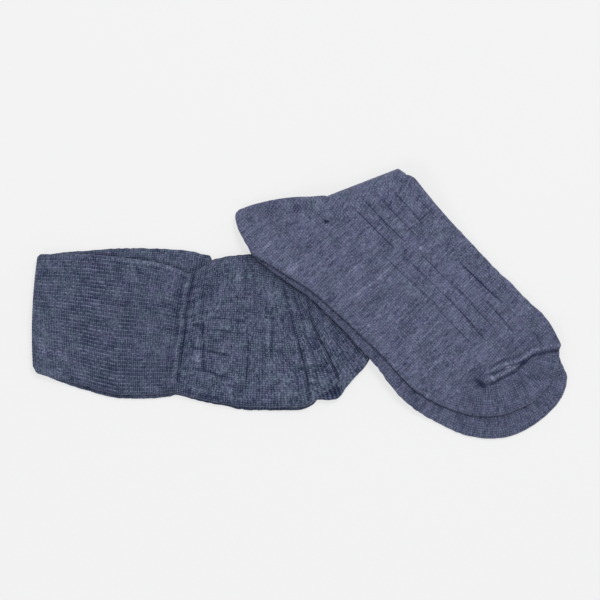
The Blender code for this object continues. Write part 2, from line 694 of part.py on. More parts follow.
def clear_scene():
    for obj in list(bpy.data.objects):
        bpy.data.objects.remove(obj, do_unlink=True)


def new_collection(name):
    made = bpy.data.collections.new(name)
    bpy.context.scene.collection.children.link(made)
    return made


Leg = namedtuple("Leg", ("cuff", "rows", "axis", "form", "roll", "axis_z"))


def rows_of(kind, table):
    return tuple(kind(*row) for row in table)


def make_sock(name, leg, leg_ribbed, foot_rows, foot_form, instep_ribbed, colour):
    sock = tube(name, leg_sections(leg, leg_ribbed), socks)
    foot = tube(name + "_foot", foot_sections(foot_rows, foot_form, instep_ribbed), helpers)
    slit = tube(name + "_leg_slit", leg_slit(leg), helpers)
    toe_slit = tube(name + "_foot_slit", foot_slit(foot_rows, foot_form), helpers)
    join(sock, (("UNION", foot), ("DIFFERENCE", slit), ("DIFFERENCE", toe_slit)))
    sock.data.materials.append(knit(name + "_knit", colour))


clear_scene()
socks = new_collection("pair_of_long_socks")
helpers = new_collection("helpers")
helpers.hide_render = True

make_sock(
    "inner_sock",
    Leg(
        rows_of(LegRow, INNER_CUFF),
        rows_of(LegRow, INNER_LEG_ROWS),
        INNER_AXIS,
        INNER_LEG_FORM,
        INNER_ROLL,
        INNER_AXIS_Z,
    ),
    True,
    rows_of(FootRow, INNER_FOOT_ROWS),
    INNER_FOOT_FORM,
    False,
    BLUE_HEATHER_SHADED,
)
make_sock(
    "outer_sock",
    Leg(
        rows_of(LegRow, OUTER_CUFF),
        rows_of(LegRow, OUTER_LEG_ROWS),
        OUTER_AXIS,
        OUTER_LEG_FORM,
        OUTER_ROLL,
        OUTER_AXIS_Z,
    ),
    False,
    rows_of(FootRow, OUTER_FOOT_ROWS),
    OUTER_FOOT_FORM,
    True,
    BLUE_HEATHER,
)

for helper in helpers.objects:
    helper.hide_render = True
    helper.display_type = "WIRE"
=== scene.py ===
"""A pair of long knitted socks, folded together at the ankle and laid flat.

Lengths in the tables are millimetres in the frame of the solids: x along the legs from the cuffs
to the toes, y across them towards the heels. A foot has its own axes: u from heel to toe and w
from sole to instep. Each sock is two tubes of cloth, a leg and a foot, that run into each other
at the ankle fold. The inner sock lies inside the fold of the outer one.
"""

import math
from collections import namedtuple
from functools import partial

import bpy
import numpy as np
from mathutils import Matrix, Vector


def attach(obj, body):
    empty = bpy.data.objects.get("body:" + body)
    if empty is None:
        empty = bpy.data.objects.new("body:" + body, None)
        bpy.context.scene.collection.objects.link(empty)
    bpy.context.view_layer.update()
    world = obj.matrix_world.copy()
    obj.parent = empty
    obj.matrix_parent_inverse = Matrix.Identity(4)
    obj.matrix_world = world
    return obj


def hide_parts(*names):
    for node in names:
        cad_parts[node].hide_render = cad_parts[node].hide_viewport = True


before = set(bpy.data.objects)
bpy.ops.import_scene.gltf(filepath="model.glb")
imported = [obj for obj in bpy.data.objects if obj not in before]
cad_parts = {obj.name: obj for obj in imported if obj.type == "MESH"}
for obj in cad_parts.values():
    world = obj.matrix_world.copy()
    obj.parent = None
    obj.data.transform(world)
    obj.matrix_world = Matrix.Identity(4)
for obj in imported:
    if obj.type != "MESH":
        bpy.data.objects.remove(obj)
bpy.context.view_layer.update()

MM = 0.001

# Cloth
WALL = 1.35  # one knitted wall
FLAT = 3.2  # a sock laid flat: two walls and the slit between them
CUFF_FLAT = 3.6
OUTSIDE = (0.0, 1.6)  # inset of a wall from the side edge, and reach of its rounding
INSIDE = (1.6, 0.8)  # the same for the slit inside
EDGE_SHARE = 0.3  # most of a narrow section that one rounding takes
SEAT = 0.3  # space between the two legs
FOOT_SEAT = 0.6  # and between the two feet

# The stack at the ankle, and each ankle fold: radius to the middle of the cloth, height of its axis
INNER_LEG = FLAT + SEAT
STACK = 8.0
OUTER_FOOT = FLAT + FOOT_SEAT
INNER_ROLL = (STACK - INNER_LEG) / 2
INNER_AXIS_Z = (INNER_LEG + STACK + FLAT) / 2
OUTER_ROLL = (STACK + OUTER_FOOT) / 2
OUTER_AXIS_Z = (STACK + OUTER_FOOT + FLAT) / 2

# Knit gauge
WALE = 1.72  # width of one column of stitches on the foot
COURSE = 1.60  # height of one row of stitches
LEG_COLUMNS = 64
LEG_WIDTH = 105.0
INSTEP_EDGE = 116.0  # w at which the leg's last column runs on into the foot
KNIT_MIX = 60.0  # the leg's stitches turn into the foot's over this length before the fold
CUFF_RIBS = 36
CUFF_RIB_DEPTH = 0.30
WIDE_RIBS = 8
WIDE_RIB_POWER = 6  # narrows the grooves between the leg's wide ribs

# Edges of the two legs, from the mouth to the ankle fold: near x and y, far x and y, bow of the row
INNER_LEG_ROWS = (
    (-183.2, 33.4, -186.4, -44, 2),
    (-181.6, 34.7, -184.2, -48.2, 2.6),
    (-177, 35.1, -179, -50.2, 2.8),
    (-165, 35.2, -166, -53.2, 2.5),
    (-150, 34.9, -151, -57.2, 2.2),
    (-135, 33.6, -138, -61.2, 2),
    (-120, 32, -125, -63.6, 2),
    (-105, 30, -112, -63.9, 2),
    (-92, 27, -100, -63.2, 2),
    (-83, 23.6, -93.5, -62.4, 2),
    (-78, 21.4, -90, -62.2, 2),
    (-75, 21.4, -87.6, -62.4, 2),
    (-72, 23.4, -84.6, -62.9, 1.6),
    (-67, 27.2, -79, -64.3, 1),
    (-61, 30.8, -72, -66.2, 0),
    (-53, 33, -62, -68.3, 0),
    (-44, 34.2, -52, -70.1, 0),
    (-35, 34.8, -42, -71.6, 0),
    (-28, 34, -31, -72.2, 0),
    (-22, 32.7, -19, -72.2, 0),
    (-18, 31.5, -8.5, -72.2, 0),
    (-15.2, 30.4, 0, -72, 0),
    (-14, 29.6, 4.6, -71, 0),
    (-13.4, 29, 7.6, -69.8, 0),
    (-13.2, 28.7, 9.4, -68.6, 0),
    (-12.9, 28.3, 11.8, -67.2, 0),
    (-12.6, 28, 15.5, -67, 0),
    (-12.4, 27.8, 20, -67.2, 0),
    (-12.2, 27.7, 24.2, -67, 0),
    (-12, 27.6, 28.2, -64.6, 0),
    (-11.9, 27.6, 30.3, -61.6, 0),
    (-11.8, 27.6, 31, -60.3, 0),
    (-11.6, 27.7, 36, -54.5, 0),
    (-11.3, 27.8, 41, -49, 0),
    (-11, 28.1, 46.5, -42.6, 0),
    (-10.2, 28.8, 53.5, -30, 0),
    (-8.8, 30.4, 59, -12, 0),
    (-5.4, 34.6, 62, 8, 0),
    (0, 42, 64, 30, 0),
    (8, 52, 66, 52, 0),
    (16, 61, 67.5, 70, 0),
    (22.4, 67.6, 68.6, 82.6, 0),
    (24, 69.5, 69, 86.9, 0),
)
OUTER_LEG_ROWS = (
    (-182.5, 29.5, -185, -42.5, 2),
    (-180.5, 33, -183, -47.3, 2.4),
    (-175, 34.9, -177, -50.9, 2.4),
    (-160, 36.7, -161, -57, 2.2),
    (-144, 37.9, -146, -61.7, 2),
    (-128, 39, -132, -65.4, 2),
    (-112, 39.2, -118, -66.5, 2),
    (-97, 38.8, -104, -66.4, 2),
    (-82, 37.8, -92, -64.9, 1.5),
    (-75, 36.7, -87, -63.9, 1),
    (-69, 35.1, -82, -64.6, 0.5),
    (-63.4, 34.2, -76, -66.5, 0),
    (-60.6, 29.6, -70, -68.2, 0),
    (-53, 31.2, -62, -69.8, 0),
    (-44, 32.6, -52, -71.4, 0),
    (-35, 33.2, -42, -73.8, 0),
    (-27, 32.4, -31, -74.6, 0),
    (-21, 31.5, -18, -74.4, 0),
    (-17, 30.6, -6, -74.6, 0),
    (-14.8, 29.8, 1, -74.2, 0),
    (-14, 29, 5.4, -72.4, 0),
    (-13.6, 28.4, 9.4, -70.2, 0),
    (-13.3, 28, 12.6, -66.9, 0),
    (-12.9, 27.6, 20, -65.6, 0),
    (-12.5, 27.3, 26, -62.4, 0),
    (-12.1, 27.1, 32, -55.5, 0),
    (-11.7, 27.1, 38.5, -48, 0),
    (-11.2, 27.3, 44.5, -40.5, 0),
    (-10.4, 27.9, 54, -25, 0),
    (-9, 29.4, 61, -8, 0),
    (-6, 33.2, 65, 12, 0),
    (-1, 40.2, 68, 34, 0),
    (5.8, 49, 70.5, 56, 0),
    (12.8, 58.2, 72.5, 74, 0),
    (18.8, 65.9, 73.8, 84.6, 0),
    (20.7, 68.3, 74.6, 89.1, 0),
)
LEG_RAGGED = 0.25  # how far the knitted side edges stray
EDGE_SETTLES = 8.0  # no straying this close to the fold
MOUTH_SCALLOP = 0.3  # how far the ribs push the mouth in and out
MOUTH_RUN = 2.0
LIP_REACH = 0.6
LIP_STEPS = 5
INNER_PITCH = 3.0  # knit length given to each row of the inside wall

# The ankle fold: angles of its rows, and rows past it that run on inside the foot
FOLD_TURNS = (*np.linspace(0.0, 180.0, 19)[1:], 180.0, 180.0)
FOLD_PAST = (*np.zeros(18), 2.5, 7.0)
TAIL_THIN = 0.35  # the cloth is this much thinner on each side inside the foot
SLIT_TURNS = (30.0, 90.0, 150.0, 180.0)
SLIT_PAST = (0.0, 0.0, 0.0, 1.3)
# The fold's near and far ends: length of their rounding, share of the reach they lose
FOLD_END_RUN = (6.0, 4.0)
FOLD_END_PULL = (0.02, 0.55)

# Outlines of the two feet, in the foot's axes: sole u and w, upper u and w
FOOT_DEGREES = -45.0
OUTER_FOOT_ROWS = (
    (-76.9, 13.4, -76.9, 16.6),
    (-75.4, 11.2, -75.4, 20),
    (-72.5, 9.2, -72.5, 26),
    (-68, 6.6, -68, 33.6),
    (-62, 4.5, -62, 42.3),
    (-55, 2.7, -55, 51),
    (-48, 1.2, -48, 58.4),
    (-41, 2.8, -41, 65.9),
    (-37.6, 3.7, -37.6, 67.6),
    (-34.4, 4.6, -34.4, 69),
    (-31, 5.4, -31, 73),
    (-26, 6.4, -26, 82.6),
    (-20, 7.8, -20, 96.2),
    (-14.5, 9.2, -14.5, 108.6),
    (-10.5, 10.2, -10.5, 117),
    (-5, 11.5, -5, 118.8),
    (3, 12.6, 3, 117.9),
    (11, 13.2, 11, 117.2),
    (19, 13.6, 19, 116.5),
    (27, 14, 27, 116),
    (35, 14.4, 35, 115.7),
    (43, 14.8, 43, 115.4),
    (51, 15.1, 51, 115.3),
    (59, 15.2, 59, 115),
    (67, 15.1, 67, 114.7),
    (74, 14.7, 75, 114.6),
    (80, 14.3, 84, 114.6),
    (85, 14.1, 93.5, 115.1),
    (89.5, 14, 103, 114.9),
    (94, 14, 112.5, 114.7),
    (98.5, 14.1, 121.5, 115.3),
    (103, 14.9, 130, 114.6),
    (108, 16, 143.2, 111.2),
    (111.2, 16.8, 146.6, 110.2),
    (113.5, 17.6, 148.5, 109.6),
    (115.3, 18.2, 149.9, 108.6),
    (117.2, 18.8, 150.7, 107.2),
    (118.9, 19.4, 151.6, 105.6),
    (120.8, 20, 152.6, 104.4),
    (123.2, 21.2, 154.2, 102.6),
    (128.6, 23.6, 157.4, 98.9),
    (134.3, 26.6, 160, 95),
    (139.8, 29.7, 162.1, 89.5),
    (145.4, 34, 163.6, 82),
    (151.8, 40.8, 164.2, 72.4),
    (157.6, 49, 163.8, 65.4),
)
# The lower foot has one u a row: u, sole w, upper w
INNER_FOOT_SECTIONS = (
    (-73.8, 13.6, 16.4),
    (-72, 11, 20.6),
    (-68, 8.4, 28),
    (-62, 5.4, 36.6),
    (-55, 2.8, 44),
    (-48, 0.6, 50),
    (-41, 1, 55),
    (-36, 1.6, 58.4),
    (-32.6, 2, 62),
    (-30.8, 2.2, 68.4),
    (-26, 2.9, 79.2),
    (-20, 4, 92.6),
    (-14.8, 4.9, 104.4),
    (-8, 6.3, 107.6),
    (1, 7.9, 108),
    (10, 8.3, 107.4),
    (28, 8.5, 106.4),
    (46, 8.1, 106),
    (55, 7.8, 106),
    (64, 7.2, 106),
    (73, 6.3, 106),
    (77.5, 5.5, 106),
    (82, 4.7, 106),
    (86.5, 4.3, 106),
    (91, 3.9, 106),
    (100, 3.7, 106),
    (109, 4.7, 106),
    (118, 6.6, 106),
    (127, 9.3, 105.6),
    (136, 12.2, 104.8),
    (144, 15.2, 103.8),
    (151, 19.4, 102.6),
    (158, 24.6, 101),
    (164, 30.6, 98.4),
    (169, 37.4, 95.4),
    (173, 45.4, 90.6),
    (176, 56.4, 83.2),
    (177.4, 66, 76.6),
)
INNER_FOOT_ROWS = tuple((u, sole, u, upper) for u, sole, upper in INNER_FOOT_SECTIONS)
OUTER_FOLD_SPAN = (-34.4, -10.5)  # u from which, and up to which, the ankle fold takes the edge's place
INNER_FOLD_SPAN = (-32.6, -14.8)
FOLD_CLEAR = (4.0, 3.0)  # the edge is even from this far off the fold, over this run
TOE_RAGGED = (2.0, 60.0, 20.0)  # the instep's edge strays this much more, from this u, over this run
HOLLOW_WIDTH = 12.0  # the foot's hollow ends where it is narrower
HOLLOW_STEP = 8  # one row of the hollow for this many of the outside
FOLD_REACH = 0.8  # share of the fold's radius that the foot's cloth follows down
FOLD_DIP = (0.04, 0.6)  # the foot's cloth lies this much below the leg's at the fold, within this run

# Where the legs lie below the feet
INNER_BORDER = ((-12.0, 29.0), (20.7, 68.3))
LEG_TOP = 35.0
OUTER_BORDER = ((-42, 47), (-25, 54.5), (-8, 61.5), (12, 65.5), (34, 68.5), (56, 71), (88, 75.5))
CLEAR = 3.0  # the feet stay up this far outside the legs
HEEL_FALL = 32.0  # and are down on the table this far outside, at the heel
TOE_FALL = 58.0  # and this far at the toe

# The upper foot's instep edge hangs over the lower foot's
DROOP = 2.5
DROOP_START = 108.6
DROOP_RUN = 7.0
DROOP_FROM = (-2.0, 140.0)
DROOP_FADE = 20.0

# The bend of the leg: two layer edges that fan out from this point, at these angles in degrees
PIVOT = (-13.0, 29.0)
STEP_ONE = -78.2
STEP_TWO = -64.0
STEP_RISE = 1.6
STEP_TWO_CORNER = (14.0, -66.0, 26.0, -56.0)  # the second layer ends short of this line
STEP_TWO_FALL = 2.0
STEP_FADE = (8.0, 45.0)
RISE_RUN = 42.0

# The join of cuff and leg: its line, then offset, half width and height of its ridge and groove
CUFF_END_Y = (-64, -50, -43.5, -34, -24, -11, -1, 6, 10.5, 16.5, 21, 30)
CUFF_END_X = (-86.8, -86.4, -85.4, -84.2, -82.4, -80.6, -79.6, -78.8, -77.6, -76, -74.6, -73)
CUFF_END_RUN = 4.0
JOIN_RIDGE = (-4.5, 2.8, 0.40)
JOIN_GROOVE = (0.6, 1.6, 0.65)

# Broad folds across the leg: x at the upper and lower sides, half width, depth
LEG_UPPER_Y = 32.0
LEG_LOWER_Y = -72.0
LEG_FOLDS = ((-66.5, -68, 2.6, 0.55), (-55, -57, 3, 0.25), (-36, -38, 3, 0.5), (-20.5, -20, 3.4, 0.3))
# Broad swells of the foot: u, w, reach along u, reach along w, height
FOOT_SWELLS = ((-40, 34, 22, 18, 0.5), (30, 50, 26, 22, 0.6), (62, 84, 22, 20, 0.4), (100, 48, 24, 20, 0.4))

# Creases of the leg and the bend, as paths in plan: half width, depth (a ridge is less than 0), points
LEG_CREASES = (
    (0.75, 0.45, (-76, 4.6), (-67.5, 4.8)),
    (0.6, 0.2, (-68, 4.8), (-48, 4.6)),
    (0.7, 0.4, (-49, 4.8), (-36, 4.4)),
    (1.1, 0.45, (-76, -5.2), (-68, -5.8)),
    (1.2, 0.55, (-76, -14.6), (-67.6, -15.2)),
    (0.8, 0.35, (-66, -9), (-52, -10.6), (-38, -12)),
    (0.95, 0.38, (-62, -17.8), (-48, -19.6), (-36, -20.8)),
    (1.1, 0.65, (-77, -31), (-67, -32)),
    (0.95, 0.6, (-66.5, -32.6), (-57, -34.6), (-46.5, -36.7)),
    (0.8, 0.45, (-75.2, -25), (-75.2, -32)),
    (0.8, 0.55, (-76, -45), (-63, -47.6), (-57, -50), (-50, -51.6)),
    (0.9, 0.3, (-64, -25), (-55, -26.5)),
    (0.9, 0.3, (-70, 13), (-58, 12.6)),
    (1, 0.3, (-68.2, 13), (-68.4, -9)),
    (1, 0.6, (-68, -12), (-67.8, -26), (-67.4, -47)),
    (1.2, 0.35, (-61.5, 14), (-61.5, -3)),
    (1.2, 0.25, (-38.2, 28), (-38, 3)),
    (1, 0.45, (-37.5, -12), (-36.4, -27), (-37, -44), (-37.8, -62)),
    (1.2, 0.25, (-32, 22), (-31.6, -12)),
    (0.9, 0.36, (-19.2, -6), (-19.6, -24), (-20.6, -40)),
    (1.5, 0.15, (-26, -8), (-26, -54)),
    (1.5, 0.15, (-12, -18), (-12.5, -62)),
    (1.5, -0.2, (-72, 12), (-71.8, -12), (-71.6, -46)),
    (0.9, -0.4, (-22.2, -6), (-22.6, -42)),
    (2.6, -0.25, (-43.5, 27), (-43, 14)),
    (1.6, -0.25, (-56, 8), (-56.2, -5)),
    (0.8, -0.25, (-66, -30.6), (-47, -34.6)),
    (0.9, -0.2, (-61, -16), (-42, -17.8)),
    (1.4, 0.4, (-82, -60.5), (-70, -64), (-54, -67.2)),
    (1.3, 0.3, (-56, -68.2), (-30, -70.6), (0, -70.2)),
    (1, 0.8, (-11.6, 13), (-9.2, 4), (-6.8, -5.6), (-4.4, -16.4), (-2, -24.8)),
    (1.2, 0.9, (-3.4, -20), (1, -34.4), (3.4, -44), (5.2, -54.8), (6.4, -62), (6.6, -69)),
    (1.1, -0.45, (5, -34), (7.4, -44), (9, -56), (10, -64)),
    (0.7, 0.55, (-5, 11.2), (-0.2, -5.6), (3.4, -20), (6.4, -28.4), (9.4, -38), (11.2, -46.4), (13.4, -63)),
    (0.6, 0.35, (-2, 10), (1, 0.4), (5.8, -10.4), (9, -20), (12.4, -30)),
    (0.8, 0.5, (9, -20), (12.4, -27.2), (15.4, -35.6), (17.8, -41.6), (20.8, -48.8), (22, -54)),
    (0.7, -0.35, (0, 6), (4.6, -8), (9, -20), (14, -31), (19, -42)),
    (0.9, 0.75, (4.6, 4), (7, -6.8), (9.4, -15.2), (12.4, -21.2), (15.4, -28.4)),
    (1, 0.9, (13.6, -24), (19.6, -35.6), (23.8, -44), (26.2, -50), (26.4, -54.8)),
    (1, 0.7, (26.4, -53), (25, -56.5), (19, -62), (14, -66.2)),
    (3, 1.1, (29.5, -57), (24, -62), (20, -65)),
    (0.6, 0.35, (12, 0), (18, -12), (26, -26), (32, -40)),
    (1.6, 0.4, (44, -41), (36, -49), (30, -56)),
)
CREASE_END = 4.0  # a crease fades in and out over this length
CREASE_CELL = 7.0  # and strays from its path by unevenness of this size

# Where the lower foot's edge lies on the leg; the leg gets painted shadow along it
FOOT_CONTACT = ((-38, 36), (-25.4, 26.2), (-5, 11.8), (13, -2.6), (32.2, -21.2), (47.8, -38), (56, -46))

# Grooves between the instep's wide ribs, in the foot's axes: u, w and depth along each
INSTEP_GROOVES = (
    ((-60, 64.5, 0.3), (-38, 64.5, 0.3), (-30, 64.5, 0.08), (-14, 64.5, 0.05), (-11, 64.5, 0.22),
     (-7, 64.5, 0.18), (-2, 64.5, 0.05), (3, 64.5, 0.3), (11, 64.5, 0.28), (16, 64.8, 0.1), (20, 65.2, 0.4),
     (30, 65.4, 0.5), (38, 65.6, 0.3), (45, 66, 0.5), (58, 66.3, 0.6), (66, 66.6, 0.5), (71, 66.1, 0.75),
     (80, 65.8, 0.35), (88, 65.5, 0.4), (96, 65, 0.65), (103, 64.8, 0.45), (108, 64.6, 0.15),
     (121, 63.8, 0.3), (128, 63.5, 0)),
    ((-60, 73.6, 0.3), (-40, 73.6, 0.3), (-33, 73.6, 0.15), (-24, 73.6, 0.12), (-20, 73.6, 0.3),
     (-16, 74, 0.75), (-8, 74, 0.7), (-1, 73.9, 0.5), (3, 73.8, 0.65), (12, 73.8, 0.6), (17, 74, 0.5),
     (20, 73.6, 0.1), (25, 74.2, 0.15), (28, 74.5, 0.5), (36, 74.9, 0.55), (43, 75.2, 0.7),
     (46, 75.3, 0.25), (52, 75.4, 0.55), (58, 75.6, 0.35), (64, 75.6, 0.3), (68, 76, 0.6), (75, 76.2, 0.75),
     (84, 75.8, 0.5), (90, 75.3, 0.9), (97, 74.9, 0.85), (103, 74.5, 0.6), (109, 74.2, 0.35),
     (114, 74, 0.05), (120, 73.6, 0)),
    ((-60, 82.8, 0.3), (-36, 82.8, 0.3), (-28, 82.8, 0.1), (-21, 82.8, 0.3), (-12, 82.6, 0.5),
     (-4, 82.2, 0.65), (3, 82, 0.7), (12, 82.1, 0.6), (19, 82.2, 0.45), (22, 82.6, 0.08), (36, 84, 0.08),
     (40, 84.3, 0.45), (44, 84.4, 0.4), (47, 84.5, 0.5), (52, 84.3, 0.4), (57, 84.3, 0.3), (62, 84.8, 0.15),
     (68, 85.2, 0.4), (75, 85.6, 0.6), (83, 85.2, 0.5), (90, 84.8, 0.55), (97, 84.3, 0.45),
     (103, 84.2, 0.5), (110, 83.4, 0.4), (115, 83, 0.15), (122, 82.4, 0)),
    ((-60, 92.4, 0.3), (-34, 92.4, 0.3), (-28, 92.4, 0.35), (-20, 92.2, 0.3), (-12, 92.1, 0.5),
     (-6, 91.9, 0.6), (2, 91.4, 0.55), (10, 91.1, 0.45), (19, 90.8, 0.4), (24, 90.8, 0.1), (60, 92.6, 0.05),
     (86, 93.2, 0.1), (91, 93.4, 0.4), (98, 93.4, 0.5), (105, 92.9, 0.7), (112, 92.3, 0.55),
     (118, 91.8, 0.3), (124, 91, 0.1), (130, 90, 0)),
    ((-60, 101.5, 0.3), (-30, 101.5, 0.2), (-20, 101.5, 0.12), (-10, 101.5, 0.3), (-3, 101.5, 0.6),
     (5, 101.2, 0.4), (9, 100.9, 0.65), (15, 100.4, 0.7), (20, 100, 0.25), (26, 99.8, 0.05),
     (54, 99.7, 0.08), (60, 99.7, 0.3), (67, 99.6, 0.9), (74, 99.8, 1), (82, 100, 0.9), (90, 100.4, 0.7),
     (96, 100.7, 0.95), (100, 100.8, 0.2), (108, 100.9, 0.05), (128, 101.5, 0.1), (134, 101, 0.5),
     (140, 99.4, 0.4), (144, 98.4, 0)),
    ((-60, 110.4, 0.2), (-10, 110.4, 0.1), (6, 110.4, 0.12), (12, 110.3, 0.35), (20, 110, 0.3),
     (28, 110, 0.05), (60, 110, 0.05), (100, 109.5, 0)),
)
GROOVE_HALF = 0.55
GROOVE_DEPTH = 0.55
# Soft bands across the foot, along its courses: u, w from, w to, half width, height
FOOT_BANDS = (
    (-52, 10, 48, 2.5, -0.16),
    (-30, 12, 60, 3, 0.18),
    (-21, 14, 56, 1.6, -0.2),
    (-9, 16, 66, 2.4, 0.2),
    (2, 18, 62, 1.5, -0.22),
    (12, 18, 70, 2.6, 0.22),
    (22, 16, 58, 1.4, -0.2),
    (33, 18, 64, 2.2, 0.15),
    (41, 16, 60, 1.2, -0.18),
    (55, 18, 70, 2, 0.12),
    (66, 16, 56, 1.6, -0.12),
    (84, 18, 60, 2, 0.12),
)
# Paler courses (darker where the strength is less than 0): u and w of both ends, half width, strength
FOOT_STREAKS = (
    ((9, 28), (9, 48), 0.8, 0.4),
    ((23, 31), (27, 62), 0.8, 0.45),
    ((44.4, 15), (44.8, 34), 0.9, 0.45),
    ((-45, 4), (-45, 18), 0.8, 0.4),
    ((72, 30), (72, 60), 0.8, 0.3),
    ((77, 28), (77.4, 60), 0.8, 0.35),
    ((56, 22), (56.5, 44), 0.7, 0.25),
    ((96, 26), (96, 52), 0.8, 0.25),
    ((-21, 9), (-21, 17), 3, 0.3),
    ((0, 18), (0, 28), 0.8, -0.4),
    ((34, 30), (34.4, 52), 0.8, -0.3),
    ((62, 34), (62, 58), 0.9, -0.25),
)
LINT = ((84, 39.4), (160.5, -2.4), (134.4, -51.5), (136, -53.5))

# The heel: its gore line as u and w (past it the courses lean towards the leg), and the hole at its end
HEEL_GORE = ((-77, -50, -27.6, 20), (15, 39, 53.7, 118))
HEEL_LEAN = 0.26
HEEL_EASE = 6.0
GORE_HOLE = (18.5, 57.5)
# A darker band beside the heel's back edge, in plan
HEEL_BAND = ((-34, 58), (-18, 64.5), (-4, 67), (6, 64.5))

# The linked toe seam, in plan: half width, height (a groove is less than 0), points
TOE_SEAM = (
    (1.3, 0.85, (133, -47.3), (138.1, -44.5), (143.7, -42.2), (149.3, -40.8), (153.9, -39.4),
     (158.6, -35.7), (163.2, -32.4), (168.8, -30.6), (175.3, -29.9), (186, -28.8)),
    (1.3, 1, (131.6, -52.6), (137.2, -51), (141.8, -49.2), (146.5, -46.4), (150.2, -44.1), (155, -41.4)),
    (1.1, 0.35, (133, -42.4), (140, -38.6), (150, -35.2), (157, -31.6), (165, -27.6)),
    (0.8, -0.85, (130, -50.2), (137.2, -48), (141.8, -45.9), (147.4, -43.3), (153, -41.5), (159, -38.4)),
    (1.1, -1, (131, -57.4), (139, -52.8), (145.6, -49.7), (150.7, -47), (154.9, -42.9), (159.5, -38.7),
     (163.2, -35.9), (169.7, -34.2), (176.2, -32.9), (186, -31.6)),
    (0.75, -0.45, (131, -46.8), (133.5, -44.7), (137.2, -41.9), (143.7, -38.9), (150, -37.6), (156, -34.4),
     (160, -31.2), (167, -28)),
    (1.5, -0.8, (121, -51), (126, -55), (130, -59)),
)
SEAM_LOOP = 2.4  # length of one linked loop
TOE_HOLLOW = (128.2, -56.8)
TOE_SHADOW = (123.5, -51.0)
# Where the knitting turns round the toe: w, and u at each
TOE_TURN = ((10, 50, 107), (112, 131, 150))
TOE_TURN_RUN = 0.6
SOLE_MARK = (100.0, 14.0)  # u, w on the sole's edge where the turned courses meet the straight ones
SOLE_COLUMN = 14.0  # column number, in mm, that the turned courses start from

# Unevenness of each cloth: height, stretch of both axes, cell, seed
LEG_FINE = ((0.06, 0.35, 2.2, 1.6, 41), (0.06, 2.0, 0.3, 1.7, 42))
LEG_SOFT = ((0.16, 1.0, 1.0, 12.0, 43), (0.10, 1.0, 1.0, 5.5, 44))
OUTER_LEG_UNEVEN = ((0.08, 1.0, 1.0, 6.0, 51),)
OUTER_FOOT_UNEVEN = ((0.10, 1.0, 1.0, 12.0, 61), (0.05, 1.6, 0.6, 3.4, 62))
INNER_FOOT_UNEVEN = ((0.08, 1.0, 1.0, 9.0, 71),)


def smooth(t):
    """0 below 0, 1 above 1, and 3t^2 - 2t^3 between."""
    t = np.clip(t, 0.0, 1.0)
    return t * t * (3.0 - 2.0 * t)


def bell(distance, half):
    """e to the minus square of distance over half."""
    return np.exp(-((distance / half) ** 2))


def within(at, start, end, run_in, run_out):
    """1 between start and end: smooth over run_in after start, times smooth over run_out before end."""
    return smooth((at - start) / run_in) * smooth((end - at) / run_out)


def uneven(x, y, cell, seed):
    """Soft unevenness from -1 to 1: seeded heights on a lattice of that cell, blended by smooth."""
    side = 64
    lattice = np.random.default_rng(seed).uniform(-1.0, 1.0, (side, side))
    column, row = np.floor(x / cell), np.floor(y / cell)
    across, up = smooth(x / cell - column), smooth(y / cell - row)
    i, j = column.astype(int) % side, row.astype(int) % side
    k, m = (i + 1) % side, (j + 1) % side
    low = lattice[i, j] * (1 - across) + lattice[k, j] * across
    high = lattice[i, m] * (1 - across) + lattice[k, m] * across
    return low * (1 - up) + high * up


def unevenness(x, y, table):
    """The sum of a table's rows: height times uneven, with both axes stretched."""
    return sum(height * uneven(x * along, y * up, cell, seed) for height, along, up, cell, seed in table)


def through_rows(rows, at):
    """A monotone cubic through each column of the rows, at places counted in rows.

    The slope at a row is the harmonic mean of the steps beside it, or 0 where they differ in sign.
    """
    table = np.array(rows, float)
    steps = np.diff(table, axis=0)
    before, after = steps[:-1], steps[1:]
    same = before * after > 0
    slope = np.zeros_like(table)
    slope[1:-1] = np.where(same, 2 * before * after / np.where(same, before + after, 1.0), 0.0)
    slope[0], slope[-1] = steps[0], steps[-1]
    i = np.clip(np.floor(at).astype(int), 0, len(table) - 2)
    t = (at - i)[:, None]
    first = (2 * t**3 - 3 * t**2 + 1) * table[i] + (t**3 - 2 * t**2 + t) * slope[i]
    return first + (3 * t**2 - 2 * t**3) * table[i + 1] + (t**3 - t**2) * slope[i + 1]


def foot_to_plan(u, w):
    """x is u cos less w sin, and y is u sin plus w cos, of the foot's angle."""
    turn = math.radians(FOOT_DEGREES)
    return u * math.cos(turn) - w * math.sin(turn), u * math.sin(turn) + w * math.cos(turn)


def plan_to_foot(x, y):
    """The other way: u is x cos plus y sin, and w is y cos less x sin."""
    turn = math.radians(FOOT_DEGREES)
    return x * math.cos(turn) + y * math.sin(turn), -x * math.sin(turn) + y * math.cos(turn)


def to_path(x, y, path):
    """Distance to a path of straight pieces, how far along it the nearest point is, and its length.

    On each piece the share is the dot product with it over its length squared, kept from 0 to 1.
    """
    best, along, start = np.full(x.shape, np.inf), np.zeros(x.shape), 0.0
    for (ax, ay), (bx, by) in zip(path, path[1:]):
        length = math.hypot(bx - ax, by - ay)
        share = np.clip(((x - ax) * (bx - ax) + (y - ay) * (by - ay)) / length**2, 0.0, 1.0)
        away = np.hypot(x - ax - share * (bx - ax), y - ay - share * (by - ay))
        nearer = away < best
        best, along = np.where(nearer, away, best), np.where(nearer, start + share * length, along)
        start += length
    return best, along, start


def heel_lean(u, w):
    """How far the courses move along the foot: past^2 / (past + ease), with past the way past the gore."""
    past = np.maximum(w - np.interp(u, *HEEL_GORE), 0.0)
    return HEEL_LEAN * past**2 / (past + HEEL_EASE)


